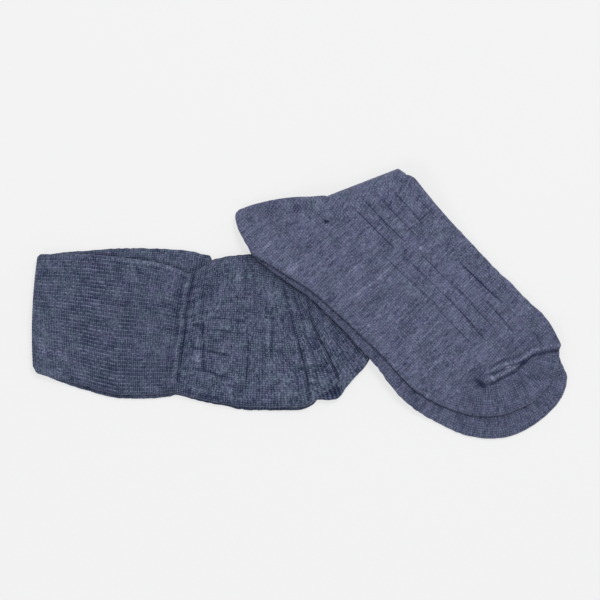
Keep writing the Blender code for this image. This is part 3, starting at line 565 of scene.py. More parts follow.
def support(x, y):
    """Height that the legs below lift the lower foot's underside to.

    It is the stack's height over the legs and falls by smooth outside their left, upper and right sides.
    """
    (ax, ay), (bx, by) = INNER_BORDER
    past_inner = ((x - ax) * (by - ay) - (y - ay) * (bx - ax)) / math.hypot(bx - ax, by - ay)
    border = np.array(OUTER_BORDER)
    past_outer = np.interp(y, border[:, 0], border[:, 1]) - x
    over_leg = smooth((LEG_TOP - y + HEEL_FALL) / (HEEL_FALL - CLEAR))
    over_bend = smooth((past_inner + HEEL_FALL) / (HEEL_FALL - CLEAR))
    return STACK * np.maximum(over_leg, over_bend) * smooth((past_outer + TOE_FALL) / (TOE_FALL - CLEAR))


def bend_rise(x, y):
    """Rise of the leg's top at the bend: two layer edges that fan out from the pivot.

    Each rises by smooth towards its edge and drops there at once. Both fade in with the distance
    from the pivot.
    """
    away_x, away_y = x - PIVOT[0], y - PIVOT[1]
    angle = np.degrees(np.arctan2(away_y, away_x))
    angle = np.where(angle > 90.0, angle - 360.0, angle)
    reach = np.hypot(away_x, away_y)
    fade = smooth((reach - STEP_FADE[0]) / STEP_FADE[1])
    before = np.radians(STEP_ONE - angle) * reach
    ramp = 1.0 - smooth(before / RISE_RUN)
    first = np.where(before >= 0.0, ramp, 0.0)
    from_x, from_y, to_x, to_y = STEP_TWO_CORNER
    corner_y = from_y + (x - from_x) * (to_y - from_y) / (to_x - from_x)
    corner = smooth((y - corner_y) / STEP_TWO_FALL + 0.5)
    second = np.where(angle <= STEP_TWO, np.where(before >= 0.0, ramp, corner), 0.0)
    return fade * STEP_RISE * (first + second)


def creases(x, y, table, wander=0.4):
    """Depth of a table's creases: each a bell across its path, soft at its ends."""
    depth = np.zeros_like(x)
    stray_x = x + wander * uneven(x, y, CREASE_CELL, 5)
    stray_y = y + wander * uneven(x, y, CREASE_CELL, 6)
    for half, deep, *path in table:
        points = np.array(path)
        reach = 4.0 * half
        low, high = points.min(axis=0) - reach, points.max(axis=0) + reach
        near = (stray_x > low[0]) & (stray_x < high[0]) & (stray_y > low[1]) & (stray_y < high[1])
        if near.any():
            off, along, length = to_path(stray_x[near], stray_y[near], path)
            depth[near] += deep * bell(off, half) * within(along, 0.0, length, CREASE_END, CREASE_END)
    return depth


def leg_folds(x, y):
    """Depth of the broad folds across the leg: each a bell across its line."""
    share = np.clip((LEG_UPPER_Y - y) / (LEG_UPPER_Y - LEG_LOWER_Y), 0.0, 1.0)
    return sum(
        deep * bell(x - upper_x - (lower_x - upper_x) * share, half)
        for upper_x, lower_x, half, deep in LEG_FOLDS
    )


def past_cuff(x, y):
    """Distance in x past the line where the cuff ends."""
    return x - np.interp(y, CUFF_END_Y, CUFF_END_X)


def inner_leg_top(x, y):
    """Top of the upper leg: cloth, thicker in the cuff, plus the join's ridge, less its groove and folds."""
    past = past_cuff(x, y)
    cuff = 1.0 - smooth(past / CUFF_END_RUN)
    ridge, groove = (height * bell(past - at, half) for at, half, height in (JOIN_RIDGE, JOIN_GROOVE))
    thick = FLAT + (CUFF_FLAT - FLAT) * cuff + ridge - groove
    return INNER_LEG + thick - leg_folds(x, y) + bend_rise(x, y)


def foot_swell(u, w):
    """Height of the broad swells: each a bell along the foot times a bell across it."""
    return sum(
        height * bell(u - at_u, reach_u) * bell(w - at_w, reach_w)
        for at_u, at_w, reach_u, reach_w, height in FOOT_SWELLS
    )


def toe_seam(x, y):
    """Height of the toe seam: ridges with a sine of loops, grooves between, a bell hollow at their end."""
    loops = 1.0 + 0.35 * np.sin(2 * math.pi * (x + 0.5 * y) / SEAM_LOOP) + 0.25 * uneven(x, y, 1.5, 15)
    rise = creases(x, y, TOE_SEAM, 0.15)
    hollow = np.hypot((x - TOE_HOLLOW[0]) / 1.3, y - TOE_HOLLOW[1])
    return np.where(rise > 0.0, rise * loops, rise) - 0.8 * bell(hollow, 2.6)


def outer_foot_bottom(x, y):
    """Underside of the upper foot: on the lower one, hanging over its instep edge."""
    u, w = plan_to_foot(x, y)
    hang = within(u, *DROOP_FROM, DROOP_FADE, DROOP_FADE)
    return support(x, y) + OUTER_FOOT - DROOP * hang * smooth((w - DROOP_START) / DROOP_RUN)


def instep_grooves(u, w):
    """Depth of the grooves between the instep's wide ribs, from 0 to 1: each a bell across its line."""
    depth = np.zeros_like(u)
    for groove in INSTEP_GROOVES:
        at_u, at_w, deep = np.array(groove, float).T
        off = w - np.interp(u, at_u, at_w) - 0.15 * uneven(u, w, 6.0, 8)
        depth += np.interp(u, at_u, deep) * bell(off, GROOVE_HALF)
    return depth


def foot_bands(u, w):
    """Height of the soft bands: each a bell along the foot, faded out at its two sides."""
    return sum(
        height * within(w, start, end, 10.0, 14.0) * bell(u - at - 1.6 * uneven(w, u, 18.0, 3), half)
        for at, start, end, half, height in FOOT_BANDS
    )


def outer_foot_top(x, y):
    """Top of the upper foot: cloth, swells, toe seam and bands, less the instep's grooves."""
    u, w = plan_to_foot(x, y)
    detail = toe_seam(x, y) + foot_bands(u, w) - GROOVE_DEPTH * instep_grooves(u, w)
    return outer_foot_bottom(x, y) + FLAT + foot_swell(u, w) + detail


def inner_foot_top(x, y):
    """Top of the lower foot: its cloth on the legs and the table."""
    return support(x, y) + FLAT


def level(height):
    """A surface of one height."""
    return lambda x, y: np.full_like(x, height)


def across_stations(count, edge_steps, crowding=0.0):
    """Stations across one wall: share of the width, share of the rounding's reach, and lift.

    Round an edge the reach is 1 - cos and the lift sin of even angles. Between the edges both are 1,
    and the shares crowd towards the far edge by crowding times share times 1 - share.
    """
    turn = np.linspace(0.0, math.pi / 2, edge_steps + 1)[:-1]
    share = np.linspace(0.0, 1.0, count)
    share = share + crowding * share * (1.0 - share)
    share = np.concatenate((np.zeros(edge_steps), share, np.ones(edge_steps)))
    edge = np.concatenate((1.0 - np.cos(turn), np.ones(count), (1.0 - np.cos(turn))[::-1]))
    lift = np.concatenate((np.sin(turn), np.ones(count), np.sin(turn)[::-1]))
    return share, edge, lift


def station_distances(width, stations, offset, rim):
    """Distance of each station from the near edge: offset plus rim times the edge share, even between."""
    share, edge, _ = stations
    distance = offset + rim + (width - 2 * (offset + rim)) * share
    distance = np.where(share == 0.0, offset + rim * edge, distance)
    return np.where(share == 1.0, width - offset - rim * edge, distance)


def wall_plan(rows, bow, stations, inset):
    """Plan places of one wall, and their shares of its width: rows of edges, stations across them.

    A place is the near edge plus distance times the row's direction, and off the row by
    4 bow times share times 1 - share.
    """
    near, far = rows[:, :2], rows[:, 2:4]
    width = np.linalg.norm(far - near, axis=1)[:, None]
    direction = (far - near) / width
    distance = station_distances(width, stations, inset[0], np.minimum(inset[1], EDGE_SHARE * width))
    place = distance / width
    swing = 4 * bow[:, None] * place * (1 - place)
    x = near[:, :1] + distance * direction[:, :1] + swing * direction[:, 1:]
    y = near[:, 1:] + distance * direction[:, 1:] - swing * direction[:, :1]
    return x, y, place


def between(low, high, lift):
    """The middle of low and high, plus lift times half their difference."""
    return (low + high) / 2 + lift * (high - low) / 2


def ring(upper, lower):
    """One closed ring a row: along the upper wall and back along the lower."""
    return np.concatenate((upper, lower[:, -2:0:-1]), axis=1)


def rings(upper, lower):
    """The rings of both walls, for each of their layers."""
    return [ring(*pair) for pair in zip(upper, lower)]


def cloth(name, layers, faces):
    """The mesh of one piece, from its layers: points, knit place along and across, shade, share of cuff.

    Shade is painted into the colour: above 0 it is painted shade in grooves, creases and beside covering
    cloth, below 0 painted highlight on ridges, and also pale yarn and lint. The share of cuff is 1 in the
    fine rib, 0 on leg and foot, and -1 where the leg's cloth has turned into the foot's.
    """
    points, along, across, shade, cuff = layers
    mesh = bpy.data.meshes.new(name)
    mesh.from_pydata((points.reshape(-1, 3) * MM).tolist(), [], faces)
    mesh.polygons.foreach_set("use_smooth", np.ones(len(mesh.polygons), bool))
    knit = mesh.attributes.new("knit", "FLOAT_VECTOR", "POINT")
    knit.data.foreach_set("vector", np.stack((along.ravel(), across.ravel(), shade.ravel()), axis=1).ravel())
    mesh.attributes.new("cuff", "FLOAT", "POINT").data.foreach_set("value", cuff.ravel())
    mesh.update()
    piece = bpy.data.objects.new(name, mesh)
    bpy.context.collection.objects.link(piece)
    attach(piece, "root")
    return piece


def grid_faces(rows, columns, start=0, closed_rows=False, flip=False):
    """Quads of a grid whose columns close round, and whose rows may close too."""
    index = np.arange(rows * columns).reshape(rows, columns) + start
    if closed_rows:
        index = np.concatenate((index, index[:1]))
    right = np.roll(index, -1, axis=1)
    quads = np.stack((index[:-1], right[:-1], right[1:], index[1:]), axis=2).reshape(-1, 4)
    return (quads[:, ::-1] if flip else quads).tolist()


def bag_faces(rows, columns, start=0, flip=False):
    """The same with one polygon over each end."""
    first = list(range(start, start + columns))
    last = list(range(start + (rows - 1) * columns, start + rows * columns))
    ends = [first, last[::-1]] if flip else [first[::-1], last]
    return grid_faces(rows, columns, start, flip=flip) + ends


def ragged(along, amount, seed):
    """How far a knitted edge strays from its line: unevenness of 2.6 mm and half as much of 1.3 mm."""
    return amount * (uneven(along, along * 0, 2.6, seed) + 0.5 * uneven(along, along * 0, 1.3, seed + 1))


def spaced(rows, cells, far_share):
    """Places between the rows, close enough for each cell size, and the length along their middles.

    A row's length is its middles' distance, or far_share of its far ends' distance where that is more.
    """
    table = np.array(rows, float)
    middles = (table[:, :2] + table[:, 2:4]) / 2
    spans = np.linalg.norm(np.diff(middles, axis=0), axis=1)
    far_spans = np.linalg.norm(np.diff(table[:, 2:4], axis=0), axis=1)
    places = [0.0]
    for i, reach in enumerate(np.maximum(spans, far_share * far_spans)):
        steps = max(1, math.ceil(reach / cells(table[i, 0])))
        places += list(i + np.arange(1, steps + 1) / steps)
    along = np.concatenate(((0.0,), np.cumsum(spans)))
    return np.array(places), np.interp(places, np.arange(len(table)), along)


FoldAxis = namedtuple("FoldAxis", ("near", "direction", "outward", "width"))


def fold_axis(row):
    """The axis of the ankle fold, from a leg's last row. Outward is its direction turned by a right angle."""
    near, far = np.array(row[:2], float), np.array(row[2:4], float)
    width = np.linalg.norm(far - near)
    direction = (far - near) / width
    return FoldAxis(near, direction, np.array((-direction[1], direction[0])), width)


def from_axis(axis, run, out):
    """Plan place at a run along the axis and a distance outward of it."""
    return tuple(axis.near[i] + run * axis.direction[i] + out * axis.outward[i] for i in (0, 1))


def off_axis(axis, x, y):
    """The other way: run along the axis, and distance outward of it."""
    away_x, away_y = x - axis.near[0], y - axis.near[1]
    return tuple(away_x * way[0] + away_y * way[1] for way in (axis.direction, axis.outward))


Leg = namedtuple(
    "Leg", ("name", "slot", "rows", "cells", "form", "roll", "axis_z", "upper", "lower", "detail")
)


def rolled_points(leg, turns, past, stations, thin, inset, half, groove_depth):
    """One wall at angles round the ankle fold, and past it inside the foot.

    A point's distance from the fold's axis is the roll's radius less lift times half the cloth, less
    its groove. It goes outward by that times the sine of the angle and up by minus its cosine.
    """
    axis = fold_axis(leg.rows[-1])
    lift = stations[2]
    distance = station_distances(axis.width, stations, *inset)
    near_pull, far_pull = FOLD_END_PULL
    pull = near_pull * (1.0 - smooth(distance / FOLD_END_RUN[0]))
    pull = pull + far_pull * (1.0 - smooth((axis.width - distance) / FOLD_END_RUN[1]))
    turn, past = np.radians(turns)[:, None], np.array(past)[:, None]
    arc = (leg.roll + FLAT / 2) * (math.pi - turn)
    u, w = plan_to_foot(*from_axis(axis, distance, arc - past))
    cut = groove_depth * instep_grooves(u, w) * (lift < 0.0)
    reach = leg.roll - lift * (half - thin) - cut
    x, y = from_axis(axis, distance, reach * np.sin(turn) * (1.0 - pull) - past)
    return np.stack((x, y, leg.axis_z - reach * np.cos(turn)), axis=2), u, w, cut


def leg_outside(leg, rows, along, side):
    """The layers of one outside wall: from the mouth to the fold, round it and on into the foot.

    Stitches are counted along the leg to the fold, then in the foot's axes, with the leg laid flat
    past the fold. The two counts are mixed by smooth before the fold.
    """
    stations = leg.upper if side > 0 else turned_over(leg.lower)
    bottom, top = leg.form
    total, fold_along = along[-1], (leg.roll + FLAT / 2) * math.pi
    x, y, place = wall_plan(rows, rows[:, 4], stations, OUTSIDE)
    depth, shade, cuff = leg.detail(x, y, place, side)
    z = between(bottom(x, y), top(x, y), stations[2]) - side * depth * np.abs(stations[2])
    scallop = MOUTH_SCALLOP * np.cos(2 * math.pi * CUFF_RIBS * place) * bell(along[:, None], MOUTH_RUN)
    mix = smooth((along[:, None] - total + KNIT_MIX) / KNIT_MIX)
    axis = fold_axis(leg.rows[-1])
    run, out = off_axis(axis, x, y)
    foot_u, foot_w = plan_to_foot(*from_axis(axis, run, fold_along - out))
    leg_along = along[:, None] - total - fold_along
    leg_across = place * LEG_WIDTH - LEG_WIDTH + INSTEP_EDGE
    straight = (
        np.stack((x - scallop, y, z), axis=2),
        leg_along * (1 - mix) + (foot_u + heel_lean(foot_u, foot_w)) * mix,
        leg_across * (1 - mix) + foot_w * mix,
        shade,
        cuff * (1 - mix) - mix,
    )
    thin = np.where(np.array(FOLD_PAST) > 0.0, TAIL_THIN, 0.0)[:, None]
    points, u, w, cut = rolled_points(
        leg, FOLD_TURNS, FOLD_PAST, stations, thin, OUTSIDE, FLAT / 2, GROOVE_DEPTH
    )
    # The turned cloth's shade is painted shade in the instep's grooves.
    rolled = (points, u + heel_lean(u, w), w, cut / GROOVE_DEPTH, -np.ones_like(cut))
    return [np.concatenate(pair) for pair in zip(straight, rolled)]


def leg_inside(leg, stations):
    """Points of one inside wall and their place across the knit, a wall's thickness inside the outside."""
    rows = np.array(leg.rows, float)
    bottom, top = leg.form
    x, y, place = wall_plan(rows, rows[:, 4], stations, INSIDE)
    z = between(bottom(x, y) + WALL, top(x, y) - WALL, stations[2])
    points, _, _, _ = rolled_points(leg, SLIT_TURNS, SLIT_PAST, stations, 0.0, INSIDE, FLAT / 2 - WALL, 0.0)
    across = np.concatenate((place, place[-1:].repeat(len(SLIT_TURNS), axis=0))) * LEG_WIDTH
    return np.concatenate((np.stack((x, y, z), axis=2), points)), across


def turned_over(stations):
    """The same stations for a wall that faces down."""
    share, edge, lift = stations
    return share, edge, -lift


def leg_tube(leg):
    """A sock's leg: outside from the mouth to inside the foot, back along the inside, round the mouth's lip.

    The lip is a half circle in steps of even angle between the two walls, LIP_REACH deep.
    """
    places, along = spaced(leg.rows, leg.cells, 0.7)
    rows = through_rows(leg.rows, places)
    across = rows[:, 2:4] - rows[:, :2]
    across /= np.linalg.norm(across, axis=1)[:, None]
    across *= smooth((along[-1] - along) / EDGE_SETTLES)[:, None]
    rows[:, :2] -= across * ragged(along, LEG_RAGGED, 91)[:, None]
    rows[:, 2:4] += across * ragged(along, LEG_RAGGED, 93)[:, None]
    outer = rings(leg_outside(leg, rows, along, 1.0), leg_outside(leg, rows, along, -1.0))
    inner, inner_across = rings(leg_inside(leg, leg.upper), leg_inside(leg, turned_over(leg.lower)))
    none = np.zeros_like(inner_across)
    inner_along = none + np.arange(len(none))[:, None] * INNER_PITCH - along[-1]
    # The inside walls carry a painted shade of 1 all over.
    inside = [layer[::-1] for layer in (inner, inner_along, inner_across, none + 1.0, none)]
    turn = np.linspace(0.0, math.pi, LIP_STEPS + 2)[1:-1, None, None]
    lip = between(outer[0][0], inner[0], np.cos(turn))
    lip[:, :, 0] -= LIP_REACH * np.sin(turn[:, :, 0])
    mouth = (lip, *(np.repeat(layer[:1], LIP_STEPS, axis=0) for layer in outer[1:]))
    layers = [np.concatenate(parts) for parts in zip(outer, inside, mouth)]
    piece = cloth(leg.name, layers, grid_faces(*layers[1].shape, closed_rows=True))
    return piece, along[-1] + (leg.roll + FLAT / 2) * math.pi


def turned_knit(u, w, away, around, even):
    """Knit places of a foot: straight, but leaning in the heel, and in the toe following the outline."""
    toe = smooth((u - np.interp(w, *TOE_TURN)) / TOE_TURN_RUN + 0.5)
    along = (u + heel_lean(u, w)) * (1 - toe) + (even - around) * toe
    return along, w * (1 - toe) + (SOLE_COLUMN + away) * toe


Foot = namedtuple(
    "Foot",
    ("name", "slot", "rows", "cells", "axis", "roll", "fold", "form", "upper", "lower", "detail", "ragged"),
)


def foot_outline(rows, fold):
    """Every second place of the outline: instep from fold to toe, sole back to the heel, up to the fold."""
    thinned = np.concatenate((rows[:-1:2], rows[-1:]))
    upper_edge = thinned[:, 2:4]
    before = upper_edge[upper_edge[:, 0] <= fold[0]]
    after = upper_edge[upper_edge[:, 0] >= fold[1]]
    return np.concatenate((after, thinned[::-1, :2], before))


def foot_bag(foot):
    """A sock's foot: a closed bag of two walls that meet round the outline, with a hollow inside.

    Height is the middle of the cloth plus lift times half its thickness. Lift grows from 0 at the
    outline as a quarter circle. Past the fold's axis the cloth drops as the fold's cylinder does.
    """
    places, _ = spaced(foot.rows, foot.cells, 0.0)
    rows = through_rows(foot.rows, places)
    fold_from, fold_to = foot.fold
    clear, run = FOLD_CLEAR
    beside_fold = 1.0 - within(rows[:, 2], fold_from - clear, fold_to + clear, run, run)
    more, from_u, over = TOE_RAGGED
    towards_toe = 1.0 + more * smooth((rows[:, 0] - from_u) / over)
    rows[:, 1] -= ragged(rows[:, 0], foot.ragged, 95)
    rows[:, 3] += ragged(rows[:, 0], foot.ragged, 97) * beside_fold * towards_toe
    outline = foot_outline(rows, foot.fold)
    axis = fold_axis(foot.axis)
    radius = foot.roll + FLAT / 2
    _, mark_around, _ = to_path(*np.array(SOLE_MARK)[:, None], outline)

    def wall(stations, side, inset, chosen, inner):
        """One wall of the foot over the chosen places of the outline."""
        u, w, _ = wall_plan(chosen, np.zeros(len(chosen)), stations, inset)
        x, y = foot_to_plan(u, w)
        away, around, _ = to_path(u, w, outline)
        lift = np.sqrt(1.0 - np.clip(1.0 - (away - inset[0]) / inset[1], 0.0, 1.0) ** 2)
        bottom, top = foot.form
        depth, shade = foot.detail(u, w, side)
        _, past = off_axis(axis, x, y)
        past = np.clip(past, 0.0, FOLD_REACH * radius) * (u > fold_from - 1.0) * (u < fold_to + 1.0)
        drop = radius - np.sqrt(radius**2 - past**2) + FOLD_DIP[0] * smooth(past / FOLD_DIP[1])
        z = between(bottom(x, y) + inner, top(x, y) - inner, side * lift) - drop - side * depth * lift
        knit = turned_knit(u, w, away, around, SOLE_MARK[0] + mark_around)
        return np.stack((x, y, z), axis=2), *knit, shade, np.zeros_like(u)

    outside = rings(wall(foot.upper, 1.0, OUTSIDE, rows, 0.0), wall(foot.lower, -1.0, OUTSIDE, rows, 0.0))
    wide = np.nonzero(np.linalg.norm(rows[:, 2:4] - rows[:, :2], axis=1) > HOLLOW_WIDTH)[0][::HOLLOW_STEP]
    slit = across_stations(14, 2)
    hollow = rings(*(wall(slit, side, INSIDE, rows[wide], WALL) for side in (1.0, -1.0)))
    faces = bag_faces(*outside[1].shape, flip=True) + bag_faces(*hollow[1].shape, start=outside[1].size)
    points = np.concatenate([layers[0].reshape(-1, 3) for layers in (outside, hollow)])
    rest = [np.concatenate((a.ravel(), b.ravel())) for a, b in zip(outside[1:], hollow[1:])]
    return cloth(foot.name, (points, *rest), faces)


def rib_wave(place, count):
    """0 on a rib's crest and 1 in the groove between two: half of 1 - cos, to the power 1.4."""
    return (0.5 - 0.5 * np.cos(2 * math.pi * count * place)) ** 1.4


def wide_ribs(place):
    """The same for the leg's wide ribs, with narrow grooves."""
    return rib_wave(place + 0.5 / WIDE_RIBS, WIDE_RIBS) ** WIDE_RIB_POWER


def cuff_ribs(x, y, place, mask):
    """Share of the fine ribs' depth, uneven from rib to rib and plainer in patches."""
    wander = place + 0.0012 * uneven(x, y, 16.0, 11)
    patch = 0.62 + 0.55 * bell(x + 142.0 + 0.1 * y, 22.0) + 0.35 * uneven(x, y, 15.0, 12)
    return mask * np.clip(patch, 0.15, 1.4) * rib_wave(wander, CUFF_RIBS)


def join_pucker(past, y):
    """Short gathers on both sides of the join of cuff and leg: a sine along it, a bell on each side."""
    along = y + 1.2 * uneven(past, y, 8.0, 21)
    gathers = 0.5 + 0.5 * np.sin(2 * math.pi * along / 5.2)
    return gathers * (0.35 * bell(past - 5.0, 5.0) + 0.2 * bell(past + 6.0, 3.0))


def join_lines(past, y):
    """Depth of the join's lines: a dark bell at its groove, a fainter one by the cuff, a ridge between."""
    stray = 0.8 * uneven(y, y * 0, 8.0, 25)
    dark = bell(past - JOIN_GROOVE[0] + stray, 1.15) + 0.4 * bell(past + 5.2 + 1.5 * stray, 0.9)
    return smooth((y + 60.0) / 10.0) * (dark - 0.45 * bell(past + 2.6 + stray, 1.5))


def inner_leg_detail(x, y, place, side):
    """Depth below the plain wall, painted shade, and share of cuff: weighted sums of the forms named."""
    past = past_cuff(x, y)
    cuff = 1.0 - smooth(past / 2.5 + 0.6)
    leg = 1.0 - cuff
    ribs = cuff_ribs(x, y, place, cuff)
    wide = wide_ribs(place) * leg * (1.0 + uneven(x, y, 22.0, 31))
    # Shade is painted shade: in the ribs' grooves underneath; on top also in creases, gathers and the join.
    if side < 0:
        return 0.12 * ribs + 0.08 * wide, ribs + 0.5 * wide, cuff
    pressed = creases(x, y, LEG_CREASES)
    cloth_uneven = leg * unevenness(x, y, LEG_FINE) + unevenness(x, y, LEG_SOFT)
    join, pucker = join_lines(past, y), join_pucker(past, y)
    depth = CUFF_RIB_DEPTH * ribs + 0.10 * wide + 0.8 * pressed + pucker + cloth_uneven + 0.4 * join
    before_bend = 1.0 + 0.8 * smooth((-12.0 - x) / 6.0)
    foot_edge_shadow = bell(to_path(x, y, FOOT_CONTACT)[0], 4.5)
    lit_cuff = cuff * (0.17 - 0.18 * smooth((x + 150.0) / 60.0))
    lit_edge = within(x, -142.0, -77.0, 12.0, 4.0) * bell(place - 0.014, 0.012)
    # Painted shade in the ribs' grooves, creases (more before the bend), gathers and the join's groove, and
    # painted highlight on the join's ridge.
    shade = 0.8 * ribs + 0.25 * wide + before_bend * pressed + 1.2 * pucker + join
    # Painted shadow beside the lower foot's edge; lit_cuff takes painted shade off the cuff towards its
    # mouth, and lit_edge is a painted highlight along the cuff's upper edge.
    return depth, shade + 0.35 * foot_edge_shadow - lit_cuff - 0.8 * lit_edge, cuff


def outer_leg_detail(x, y, place, side):
    """The same for the leg below: it has painted shadow beside the upper cuff's edge."""
    cuff = 1.0 - smooth((x + 70.0) / 6.0)
    ribs = cuff_ribs(x, y, place, cuff)
    wide = wide_ribs(place) * (1.0 - cuff)
    # Shade is painted shade in the ribs' grooves, and on top also painted shadow beside the upper cuff's
    # edge.
    if side < 0:
        return 0.10 * ribs + 0.10 * wide, ribs + wide, cuff
    edge_x, edge_y = np.array(INNER_LEG_ROWS[2:12])[:, :2].T
    cuff_edge_shadow = within(x, -150.0, -72.0, 20.0, 6.0) * bell(y - np.interp(x, edge_x, edge_y) - 0.6, 1.3)
    depth = 0.25 * ribs + 0.1 * wide + unevenness(x, y, OUTER_LEG_UNEVEN)
    return depth, 0.5 * ribs + wide + 0.2 * cuff_edge_shadow, cuff


def foot_streaks(u, w):
    """Paler courses of the foot, each a thin bell across its line."""
    pale = np.zeros_like(u)
    for (at, start), (to, end), half, strength in FOOT_STREAKS:
        middle = at + (to - at) * np.clip((w - start) / (end - start), 0.0, 1.0)
        there = within(w, start - 2.0, end + 2.0, 4.0, 4.0)
        pale += strength * there * bell(u - middle - 0.5 * uneven(w, u, 7.0, 65), half)
    return pale


def outer_foot_detail(u, w, side):
    """Depth of the upper foot's unevenness and hole, painted shade and light: weighted sums of the forms
    named.
    """
    if side < 0:
        return np.zeros_like(u), np.zeros_like(u)
    x, y = foot_to_plan(u, w)
    # The gore hole gets a painted dark spot for the shade inside it, and a slight dip.
    hole = 2.2 * bell(np.hypot(x - GORE_HOLE[0], 1.8 * (y - GORE_HOLE[1])), 1.9)
    flecks = sum(bell(np.hypot(x - at_x, y - at_y), 0.9) for at_x, at_y in LINT)
    # The toe seam's ridges get painted highlight and its grooves painted shade; streaks are paler and darker
    # courses of yarn, and lint pale flecks.
    seam_highlight_and_pale_yarn = 0.9 * toe_seam(x, y) + 1.4 * foot_streaks(u, w) + 2.4 * flecks
    # Darker towards the toe, plus painted shadow by the toe's hollow; the heel's band is darker.
    toe = 0.23 * smooth((u - 112.0) / 24.0) + 0.22 * bell(np.hypot(x - TOE_SHADOW[0], y - TOE_SHADOW[1]), 5.5)
    heel = 0.22 * bell(to_path(x, y, HEEL_BAND)[0], 3.2)
    depth = unevenness(u, w, OUTER_FOOT_UNEVEN) + 0.3 * hole
    # Painted shade in the instep's grooves.
    return depth, 1.35 * instep_grooves(u, w) + hole + toe + heel - seam_highlight_and_pale_yarn


def inner_foot_detail(u, w, side):
    """The lower foot: the same wide ribs on the side that faces down, painted shadow under the upper foot."""
    soft = unevenness(u, w, INNER_FOOT_UNEVEN)
    toe = 0.21 * smooth((u - 80.0) / 30.0)
    # Darker towards the toe; on top also painted shadow beside the upper foot's sole edge, and below painted
    # shade in the grooves.
    if side > 0:
        return soft, toe + 0.22 * smooth((95.0 - u) / 30.0) * smooth((30.0 - w) / 8.0)
    grooves = instep_grooves(u, w)
    return soft + 0.4 * grooves, toe + 0.9 * grooves


# Knit materials

def new_group(name, inputs, outputs):
    """An empty shader group with number sockets, and its own inputs and outputs."""
    group = bpy.data.node_groups.new(name, "ShaderNodeTree")
    for label, value in inputs:
        group.interface.new_socket(label, in_out="INPUT", socket_type="NodeSocketFloat").default_value = value
    for label in outputs:
        group.interface.new_socket(label, in_out="OUTPUT", socket_type="NodeSocketFloat")
    return group, group.nodes.new("NodeGroupInput").outputs, group.nodes.new("NodeGroupOutput").inputs


def link(tree, value, socket):
    """A socket's source: another node's result, or a value."""
    if isinstance(value, bpy.types.NodeSocket):
        tree.links.new(value, socket)
    else:
        socket.default_value = value


def maths(tree, operation, *values, clamp=False):
    """A maths node's result."""
    made = tree.nodes.new("ShaderNodeMath")
    made.operation, made.use_clamp = operation, clamp
    for value, socket in zip(values, made.inputs):
        link(tree, value, socket)
    return made.outputs[0]


def mixed(tree, share, first, second, blend="MIX"):
    """A colour mixed from two others."""
    made = tree.nodes.new("ShaderNodeMix")
    made.data_type, made.blend_type = "RGBA", blend
    link(tree, share, made.inputs["Factor"])
    link(tree, first, made.inputs["A"])
    link(tree, second, made.inputs["B"])
    return made.outputs["Result"]


def noise(tree, place, detail, rough):
    """Noise about 0, from -0.5 to 0.5."""
    made = tree.nodes.new("ShaderNodeTexNoise")
    link(tree, place, made.inputs["Vector"])
    for label, value in (("Scale", 1.0), ("Detail", detail), ("Roughness", rough)):
        made.inputs[label].default_value = value
    return maths(tree, "SUBTRACT", made.outputs["Fac"], 0.5)


def at(tree, x, y, z):
    """A place made from three values."""
    made = tree.nodes.new("ShaderNodeCombineXYZ")
    for value, socket in zip((x, y, z), made.inputs):
        link(tree, value, socket)
    return made.outputs[0]


def stitch_group():
    """Columns of V stitches: two slanting legs a column, one stitch a course, each half stitch its own shade.

    Side is 0 in a column's middle and 0.5 at its edges, and the course's line slants by half of it.
    Height is (3/4 root of (1 - 2 side) + 1/4 of a parabola on each leg) times (3/10 + 7/10 of a
    parabola along the stitch). Gap is 1 - height.
    """
    tree, given, result = new_group(
        "stitches",
        (("Along", 0.0), ("Across", 0.0), ("Layer", 0.0), ("Column", WALE), ("Course", COURSE)),
        ("Height", "Gap", "Loop", "Row"),
    )
    sums = partial(maths, tree)
    columns = sums("DIVIDE", given["Across"], given["Column"])
    side = sums("ABSOLUTE", sums("SUBTRACT", sums("FRACT", columns), 0.5))
    rows = sums("ADD", sums("DIVIDE", given["Along"], given["Course"]), sums("MULTIPLY", side, 0.5))
    leg = sums("MULTIPLY", sums("SUBTRACT", side, 0.25), 4.0)
    leg = sums("SUBTRACT", 1.0, sums("MULTIPLY", leg, leg))
    loop = sums("MULTIPLY", sums("SUBTRACT", sums("FRACT", rows), 0.5), 2.0)
    loop = sums("SUBTRACT", 1.0, sums("MULTIPLY", loop, loop))
    between_columns = sums("SUBTRACT", 1.0, sums("MULTIPLY", side, 2.0))
    column = sums("MULTIPLY_ADD", sums("POWER", between_columns, 0.5), 0.75, sums("MULTIPLY", leg, 0.25))
    height = sums("MULTIPLY", column, sums("MULTIPLY_ADD", loop, 0.7, 0.3), clamp=True)
    half_row = sums("FLOOR", sums("MULTIPLY", rows, 2.0))
    cell = tree.nodes.new("ShaderNodeTexWhiteNoise")
    cell.noise_dimensions = "3D"
    place = at(tree, sums("FLOOR", columns), half_row, sums("ROUND", given["Layer"]))
    link(tree, place, cell.inputs["Vector"])
    link(tree, height, result["Height"])
    link(tree, sums("SUBTRACT", 1.0, height), result["Gap"])
    link(tree, sums("SUBTRACT", cell.outputs["Value"], 0.5), result["Loop"])
    link(tree, half_row, result["Row"])
    return tree


# Fields of mixed fibre: name, scale along, scale across, shift from the layer, detail, roughness
FIBRE_FIELDS = (
    ("Flecks", 1.5, 1.1, 7.3, 1.0, 0.7),
    ("Clouds", 0.075, 0.05, 3.3, 2.0, 0.5),
    ("Tint", 0.09, 0.09, 11.3, 2.0, 0.6),
    ("Patches", 0.12, 0.12, 17.3, 1.0, 0.5),
)
BROAD_STREAKS = (0.42, 0.035, 5.3, 1.0, 0.6)
THIN_STREAKS = (0.3, 1.0, 0.6)
STREAK_ROW = (1.37, 0.45)  # step of the thin streaks' noise from row to row, and its start


